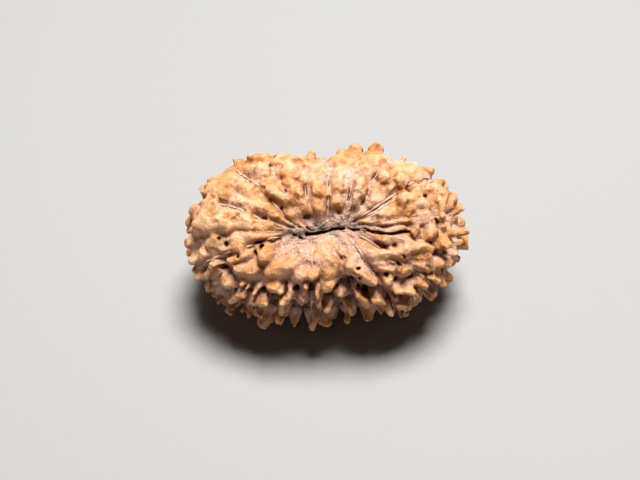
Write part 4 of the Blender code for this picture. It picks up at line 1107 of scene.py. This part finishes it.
def wood_material(finish):
    """Dry woody stone: ochre knobs, pinkish ground with grey fibre and dust, and dark pits; painted shade
    darkens the less open flanks, the deep ground, the crevices and the pits, and partly the ground round the
    slit.
    """
    nodes = Nodes("seed_wood_fine")
    times, plus, ramp, mixed = nodes.times, nodes.plus, nodes.ramp, nodes.mixed
    place = nodes.add("ShaderNodeTexCoord").outputs["Object"]
    rise, openness, seam, pole, slit = map(nodes.value, ("rise", "open", "seam", "pole", "slit"))
    fibre_place = nodes.add("ShaderNodeCombineXYZ", X=times(nodes.value("turn"), 16.0),
                            Y=times(nodes.value("reach"), 0.55)).outputs["Vector"]
    broad = nodes.noise(place, 260.0, 2.0)
    mottle = nodes.noise(place, 900.0, 4.0, 0.6)
    speck = nodes.noise(place, 3000.0, 3.0, 0.7)
    fleck = nodes.noise(place, 4200.0, 2.0, 0.6)
    fibre = nodes.noise(fibre_place, 2.2, 4.0, 0.65)

    knob_colour = mixed(ramp(broad, 0.35, 0.65), finish.knob_pale, finish.knob_deep)
    knob_colour = mixed(ramp(mottle, 0.42, 0.7, 0.0, 0.75), knob_colour, finish.knob_warm)
    ground_colour = mixed(ramp(fibre, 0.36, 0.64), finish.ground, finish.ground_pink)
    high = ramp(plus(rise, plus(times(mottle, 0.5), times(broad, 1.4))), 0.7, 1.75)
    low_ground = nodes.maths("SUBTRACT", 1.0, high)
    by_seam = nodes.maths("MAXIMUM", times(seam, 0.9), pole)
    streak = times(ramp(speck, 0.5, 0.36), plus(by_seam, 0.35))
    ground_colour = mixed(times(streak, 0.75), ground_colour, finish.streak)
    # Duller, darker ground round the slit: partly its own colour, partly painted shade of the sunken pole
    ground_colour = mixed(times(pole, 0.45), ground_colour, finish.pole_ground_and_shade)
    # Painted shade: ground lying deep below the body's surface, between tall knobs, turns dark brown
    ground_colour = mixed(ramp(rise, -0.95, -0.3, 0.85, 0.0), ground_colour, finish.deep_ground_shade)
    # Painted shade: knob flanks with less open space round them take the orange-brown flank colour
    flank = ramp(plus(openness, times(speck, 0.3)), 0.82, 1.14, 1.0, 0.0)
    knob_colour = mixed(times(flank, 0.85), knob_colour, finish.knob_flank_and_shade)
    colour = mixed(high, ground_colour, knob_colour)
    # Flanks turned towards the slit take the same orange-brown, less on the seed's lower side
    inward = times(nodes.value("inward"), ramp(mottle, 0.3, 0.6, 0.65, 1.0))
    colour = mixed(inward, colour, finish.knob_flank_and_shade)

    flecks = times(plus(low_ground, 0.15), plus(times(by_seam, 0.45), 0.3))
    colour = mixed(times(flecks, ramp(fleck, 0.53, 0.66)), colour, finish.dust)
    grey = times(ramp(slit, 0.3, 0.95), ramp(speck, 0.3, 0.6, 0.35, 0.9))
    colour = mixed(grey, colour, finish.torn)
    # Painted shade: places with little open space round them darken to brown, as shaded crevices do
    colour = mixed(times(ramp(openness, 0.15, 0.68, 1.0, 0.0), 0.72), colour, finish.crevice_shade)
    # Painted shade: the most closed-in places, down in the pits and the slit, go near black
    colour = mixed(ramp(openness, 0.02, 0.22, 1.0, 0.0), colour, finish.pit)

    rough = ramp(rise, 0.2, 1.2, 0.78, finish.knob_roughness)
    strands = times(fibre, plus(times(low_ground, 0.8), 0.15))
    relief = plus(plus(strands, times(speck, 0.9)), times(mottle, 0.5))
    bump = nodes.add("ShaderNodeBump", Strength=1.0, Distance=0.00024, Height=relief)
    nodes.dress(Base_Color=colour, Roughness=plus(rough, ramp(mottle, 0.3, 0.7, -0.06, 0.1)),
                Subsurface_Weight=0.12, Subsurface_Radius=(0.9, 0.4, 0.2), Subsurface_Scale=0.0006,
                Normal=bump.outputs["Normal"])
    return nodes.material


def fibre_material(name, colour, other):
    """Dry fibre with a little change of tone along it."""
    nodes = Nodes(name)
    place = nodes.add("ShaderNodeTexCoord").outputs["Object"]
    tone = nodes.ramp(nodes.noise(place, 1500.0, 3.0), 0.35, 0.65)
    bump = nodes.add("ShaderNodeBump", Strength=0.4, Distance=0.00005, Height=nodes.noise(place, 9000.0))
    nodes.dress(Base_Color=nodes.mixed(tone, colour, other), Roughness=0.7, Normal=bump.outputs["Normal"])
    return nodes.material


def strand_object(name, strands, material):
    """One curve object of round strands, each a list of places and a list of radii."""
    curve = bpy.data.curves.new(name, "CURVE")
    curve.dimensions = "3D"
    curve.bevel_depth = 1.0
    curve.bevel_resolution = 1
    curve.use_fill_caps = True
    for places, radii in strands:
        spline = curve.splines.new("POLY")
        spline.points.add(len(places) - 1)
        for point, place, radius in zip(spline.points, places, radii):
            point.co = (*place, 1.0)
            point.radius = radius
    curve.materials.append(material)
    return link_to_view(bpy.data.objects.new(name, curve))


def ground_height(field, base, normal, lowest, highest):
    """Height of the fine surface over places on the bare body, looked for between two heights."""
    heights = np.linspace(lowest, highest, 33)
    found = np.full(len(base), highest)
    for height in heights[::-1]:
        outside = field.sampled(base + normal * height) > 0
        found = np.where(outside, height, found)
    buried = field.sampled(base + normal * highest) <= 0
    return found, buried


def eased(values, rounds):
    """A row of numbers smoothed along itself."""
    values = values.copy()
    for _ in range(rounds):
        values[1:-1] = 0.25 * values[:-2] + 0.5 * values[1:-1] + 0.25 * values[2:]
    return values


def colour(label, about, default):
    """A colour to set in the panel."""
    return FloatVectorProperty(name=label, description=about, subtype="COLOR", default=default)


class SeedSizes(PropertyGroup):
    """Sizes of the seed's fine surface."""

    fineness: FloatProperty(name="Fineness", description="Grid step of the fine surface", default=0.00015,
                            min=0.0001, max=0.0006, precision=5, unit="LENGTH")
    thread_radius: FloatProperty(name="Suture thread", description="Radius of the thread in each suture",
                                 default=0.00012, precision=5, unit="LENGTH")
    fibre_radius: FloatProperty(name="Fibre", description="Radius of the loose fibres at the slit",
                                default=0.000045, precision=6, unit="LENGTH")
    fibre_count: IntProperty(name="Fibres", description="Number of loose fibres at the slit", default=36)


class SeedFinish(PropertyGroup):
    """Colours and gloss of the seed."""

    knob_pale: colour("Pale knobs", "Lighter knob colour", (0.84, 0.48, 0.275))
    knob_deep: colour("Deep knobs", "Deeper knob colour", (0.73, 0.345, 0.14))
    knob_warm: colour("Warm patches", "Orange patches on the knobs", (0.60, 0.23, 0.055))
    # Orange-brown used as painted shade down the knobs' less open flanks, and laid on flanks turned to the slit
    knob_flank_and_shade: colour("Knob flanks", "Orange-brown colour down the knobs' sides", (0.47, 0.17, 0.03))
    # Painted shade for ground lying deep between tall knobs
    deep_ground_shade: colour("Deep ground", "Brown ground deep between tall knobs", (0.15, 0.06, 0.03))
    ground: colour("Ground", "Colour between the knobs", (0.67, 0.375, 0.25))
    ground_pink: colour("Pink ground", "Pinkish streaks between the knobs", (0.76, 0.455, 0.35))
    streak: colour("Brown streaks", "Brown specks and streaks in the ground", (0.34, 0.15, 0.08))
    # Partly the ground's own duller colour round the slit, partly painted shade of the sunken pole
    pole_ground_and_shade: colour("Ground at the slit", "Duller ground round the slit", (0.38, 0.22, 0.16))
    dust: colour("Dust", "Pale fibre dust in the sutures", (0.80, 0.69, 0.60))
    # Painted shade for crevices, laid on where little open space lies round the surface
    crevice_shade: colour("Crevices", "Colour low between the knobs", (0.27, 0.095, 0.03))
    # Painted shade for the most closed-in places, down in the pits and the slit
    pit: colour("Pits", "Colour down in the pits", (0.035, 0.015, 0.010))
    torn: colour("Torn slit", "Grey-brown torn tissue at the slit", (0.27, 0.19, 0.145))
    thread: colour("Threads", "Raised threads in the sutures", (0.72, 0.52, 0.38))
    thread_dark: colour("Dark threads", "Darker stretches of the threads", (0.54, 0.34, 0.21))
    fibre: colour("Fibres", "Loose fibres at the slit", (0.58, 0.49, 0.42))
    fibre_dark: colour("Dark fibres", "Darker stretches of the fibres", (0.34, 0.25, 0.19))
    knob_roughness: FloatProperty(name="Knob roughness", description="Roughness of the rubbed knobs",
                                  default=0.44, subtype="FACTOR")


class SeedStage(PropertyGroup):
    """Light, floor and camera."""

    floor_colour: colour("Floor", "Colour of the plain floor", (0.362, 0.358, 0.351))
    eye_distance: FloatProperty(name="Camera distance", description="From the seed's middle to the camera",
                                default=EYE_DISTANCE, unit="LENGTH")
    eye_elevation: FloatProperty(name="Camera height", description="How steeply the camera looks down",
                                 default=EYE_ELEVATION, subtype="ANGLE")
    lens: FloatProperty(name="Lens", description="Focal length in millimetres", default=55.7)
    key_power: FloatProperty(name="Key light", description="Power of the large light above and behind",
                             default=2.5, unit="POWER")
    fill_power: FloatProperty(name="Fill light", description="Power of the weak light in front",
                              default=0.014, unit="POWER")
    sky: FloatProperty(name="Surround", description="Strength of the plain surround", default=0.032)


class SEED_OT_surface(Operator):
    """Build the knobbed surface of the seed"""

    bl_idname = "seed.surface"
    bl_label = "Build the stone"

    def execute(self, context):
        draw = np.random.default_rng(SEED_FOR_DRAWS)
        azimuths = suture_azimuths()
        rows = rows_between(azimuths)
        knobs = ruled_knobs(draw, rows, seen_knobs(draw))
        pits = all_pits(draw, rows, knobs)
        field = Field(context.scene.seed_sizes)
        azimuths = azimuths + SUTURE_TURNS
        all_knobs, pits = np.vstack([knobs, small_knobs()]), np.vstack([pits, tabled_pits(HOLLOWS)])
        fill_field(field, all_knobs, pits, azimuths, rows)
        points, quads = surface_of(field)
        points, quads = packed(points, largest_part(len(points), quads))
        points, faces = thinned(relaxed(points, quads), quads, TRIANGLES)
        made.update(field=field, azimuths=azimuths, rows=rows, shift=find_shift(knobs))
        values = surface_values(field, points, azimuths, rows)
        mesh = mesh_from("stone", kept_in_box(placed(points)), faces[:, ::-1], values)
        mesh.materials.append(wood_material(context.scene.seed_finish))
        stone = link_to_view(bpy.data.objects.new("stone", mesh))
        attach(stone, BODY)
        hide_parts(NODE)
        print("stone:", len(points), "corners,", len(faces), "triangles")
        return {"FINISHED"}


class SEED_OT_threads(Operator):
    """Lay the raised threads along the sutures"""

    bl_idname = "seed.threads"
    bl_label = "Lay the suture threads"

    def execute(self, context):
        sizes = context.scene.seed_sizes
        finish = context.scene.seed_finish
        field = made["field"]
        draw = np.random.default_rng(THREAD_DRAW)
        strands = []
        turned = np.concatenate([made["azimuths"], made["azimuths"][DOUBLED] + DOUBLE_TURN])
        shares = THREAD_SHARES + tuple(THREAD_SHARES[number] for number in DOUBLED)
        for line, share in zip(suture_lines(turned), shares):
            full = spaced(line, THREAD_STEP, *THREAD_ENDS)
            wander = np.cumsum(draw.normal(0, THREAD_WANDER, (len(full), 3)), axis=0)
            base = onto_body(full + wander - np.linspace(0, 1, len(full))[:, None] * wander[-1])
            if share == 0:
                continue
            normal = outward(base)
            height, buried = ground_height(field, base, normal, *THREAD_LEVELS)
            height = eased(np.where(buried, THREAD_SUNK, height), 4)
            swell = 0.75 + 0.25 * np.sin(np.arange(len(base)) * 0.9 + draw.uniform(0, 6))
            radii = share * sizes.thread_radius * swell * np.clip(np.arange(len(base)) / 6, 0.3, 1)
            places = placed(base + normal * (height + THREAD_RISE * radii)[:, None])
            strands.append((places, radii))
        material = fibre_material("suture_fibre", finish.thread, finish.thread_dark)
        threads = strand_object("suture_threads", strands, material)
        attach(threads, BODY)
        return {"FINISHED"}


class SEED_OT_fibres(Operator):
    """Strew the torn fibres at the slit"""

    bl_idname = "seed.fibres"
    bl_label = "Strew the slit fibres"

    def execute(self, context):
        sizes = context.scene.seed_sizes
        finish = context.scene.seed_finish
        field = made["field"]
        draw = np.random.default_rng(FIBRE_DRAW)
        strands = []
        for _ in range(sizes.fibre_count):
            along = draw.uniform(-1, 1) * SLIT_HALF_LENGTH * 1.1
            across = draw.uniform(*FIBRE_AWAY) * MM * (1 if draw.uniform() < 0.5 else -1)
            heading = SLIT_TURN + draw.normal(0, 0.35) + (math.pi if draw.uniform() < 0.5 else 0)
            step = draw.uniform(*FIBRE_STEP) * MM
            spot = along * np.array([math.cos(FIBRE_SLANT), math.sin(FIBRE_SLANT), 0])
            spot = spot + (SLIT_OFFSET, across, HALF_HEIGHT)
            places = []
            for _ in range(FIBRE_PLACES):
                heading += draw.normal(0, 0.25)
                spot = spot + step * np.array([math.cos(heading), math.sin(heading), 0])
                places.append(spot)
            base = onto_body(np.array(places))
            normal = outward(base)
            height, _ = ground_height(field, base, normal, *FIBRE_LEVELS)
            arch = np.sin(np.linspace(0, math.pi, FIBRE_PLACES))
            lift = eased(height, 3) + arch * draw.uniform(*FIBRE_LIFT) * MM
            taper = np.linspace(1, FIBRE_TIP, FIBRE_PLACES)
            radii = sizes.fibre_radius * draw.uniform(*FIBRE_WIDTH) * taper
            strands.append((placed(base + normal * lift[:, None]), radii))
        material = fibre_material("torn_fibre", finish.fibre, finish.fibre_dark)
        fibres = strand_object("slit_fibres", strands, material)
        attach(fibres, BODY)
        return {"FINISHED"}


class SEED_OT_stage(Operator):
    """Set the floor, the lights and the camera"""

    bl_idname = "seed.stage"
    bl_label = "Set the stage"

    def execute(self, context):
        stage = context.scene.seed_stage
        middle = Vector(made["shift"])
        bpy.ops.mesh.primitive_plane_add(size=FLOOR_SIZE, location=(0, 0, 0))
        floor = context.object
        floor.name = "floor"
        cover = Nodes("plain_floor")
        cover.dress(Base_Color=(*stage.floor_colour, 1.0), Roughness=0.9)
        floor.data.materials.append(cover.material)

        towards = Vector((0, -math.cos(stage.eye_elevation), math.sin(stage.eye_elevation)))
        camera = link_to_view(bpy.data.objects.new("camera", bpy.data.cameras.new("camera")))
        camera.data.lens = stage.lens
        camera.data.clip_start = 0.005
        camera.location = middle + towards * stage.eye_distance
        camera.rotation_euler = towards.to_track_quat("Z", "Y").to_euler()
        camera.data.shift_x, camera.data.shift_y = CAMERA_SHIFT
        context.scene.camera = camera

        self.light("key", middle, KEY_PLACE, KEY_SIZE, stage.key_power)
        self.light("fill", middle, FILL_PLACE, FILL_SIZE, stage.fill_power)
        world = bpy.data.worlds.new("surround")
        world.use_nodes = True
        sky = world.node_tree.nodes["Background"].inputs
        sky["Color"].default_value = (1, 1, 1, 1)
        sky["Strength"].default_value = stage.sky
        context.scene.world = world
        context.scene.view_settings.view_transform = "Standard"
        return {"FINISHED"}

    def light(self, name, target, offset, size, power):
        """A round lamp set off from a target and turned to it."""
        lamp = bpy.data.lights.new(name, "AREA")
        lamp.shape = "DISK"
        lamp.size = size
        lamp.energy = power
        holder = link_to_view(bpy.data.objects.new(name, lamp))
        holder.location = target + Vector(offset)
        holder.rotation_euler = Vector(offset).to_track_quat("Z", "Y").to_euler()


class SEED_PT_panel(Panel):
    """The seed's sizes, finish and stage, and a button for each step"""

    bl_label = "Rudraksha Seed"
    bl_idname = "SEED_PT_panel"
    bl_space_type = "VIEW_3D"
    bl_region_type = "UI"
    bl_category = "Seed"

    def draw(self, context):
        for group in (context.scene.seed_sizes, context.scene.seed_finish, context.scene.seed_stage):
            box = self.layout.box()
            for name in group.__annotations__:
                box.prop(group, name)
        for operator in OPERATORS:
            self.layout.operator(operator.bl_idname)


OPERATORS = (SEED_OT_surface, SEED_OT_threads, SEED_OT_fibres, SEED_OT_stage)
CLASSES = (SeedSizes, SeedFinish, SeedStage, *OPERATORS, SEED_PT_panel)


def register():
    """Makes the classes and the scene's settings known to Blender."""
    for one in CLASSES:
        bpy.utils.register_class(one)
    bpy.types.Scene.seed_sizes = PointerProperty(type=SeedSizes)
    bpy.types.Scene.seed_finish = PointerProperty(type=SeedFinish)
    bpy.types.Scene.seed_stage = PointerProperty(type=SeedStage)


def unregister():
    """Takes the settings and the classes away again."""
    del bpy.types.Scene.seed_stage
    del bpy.types.Scene.seed_finish
    del bpy.types.Scene.seed_sizes
    for one in reversed(CLASSES):
        bpy.utils.unregister_class(one)


def main():
    """Builds the whole scene."""
    register()
    bpy.ops.seed.surface()
    bpy.ops.seed.threads()
    bpy.ops.seed.fibres()
    bpy.ops.seed.stage()


if __name__ == "__main__":
    main()
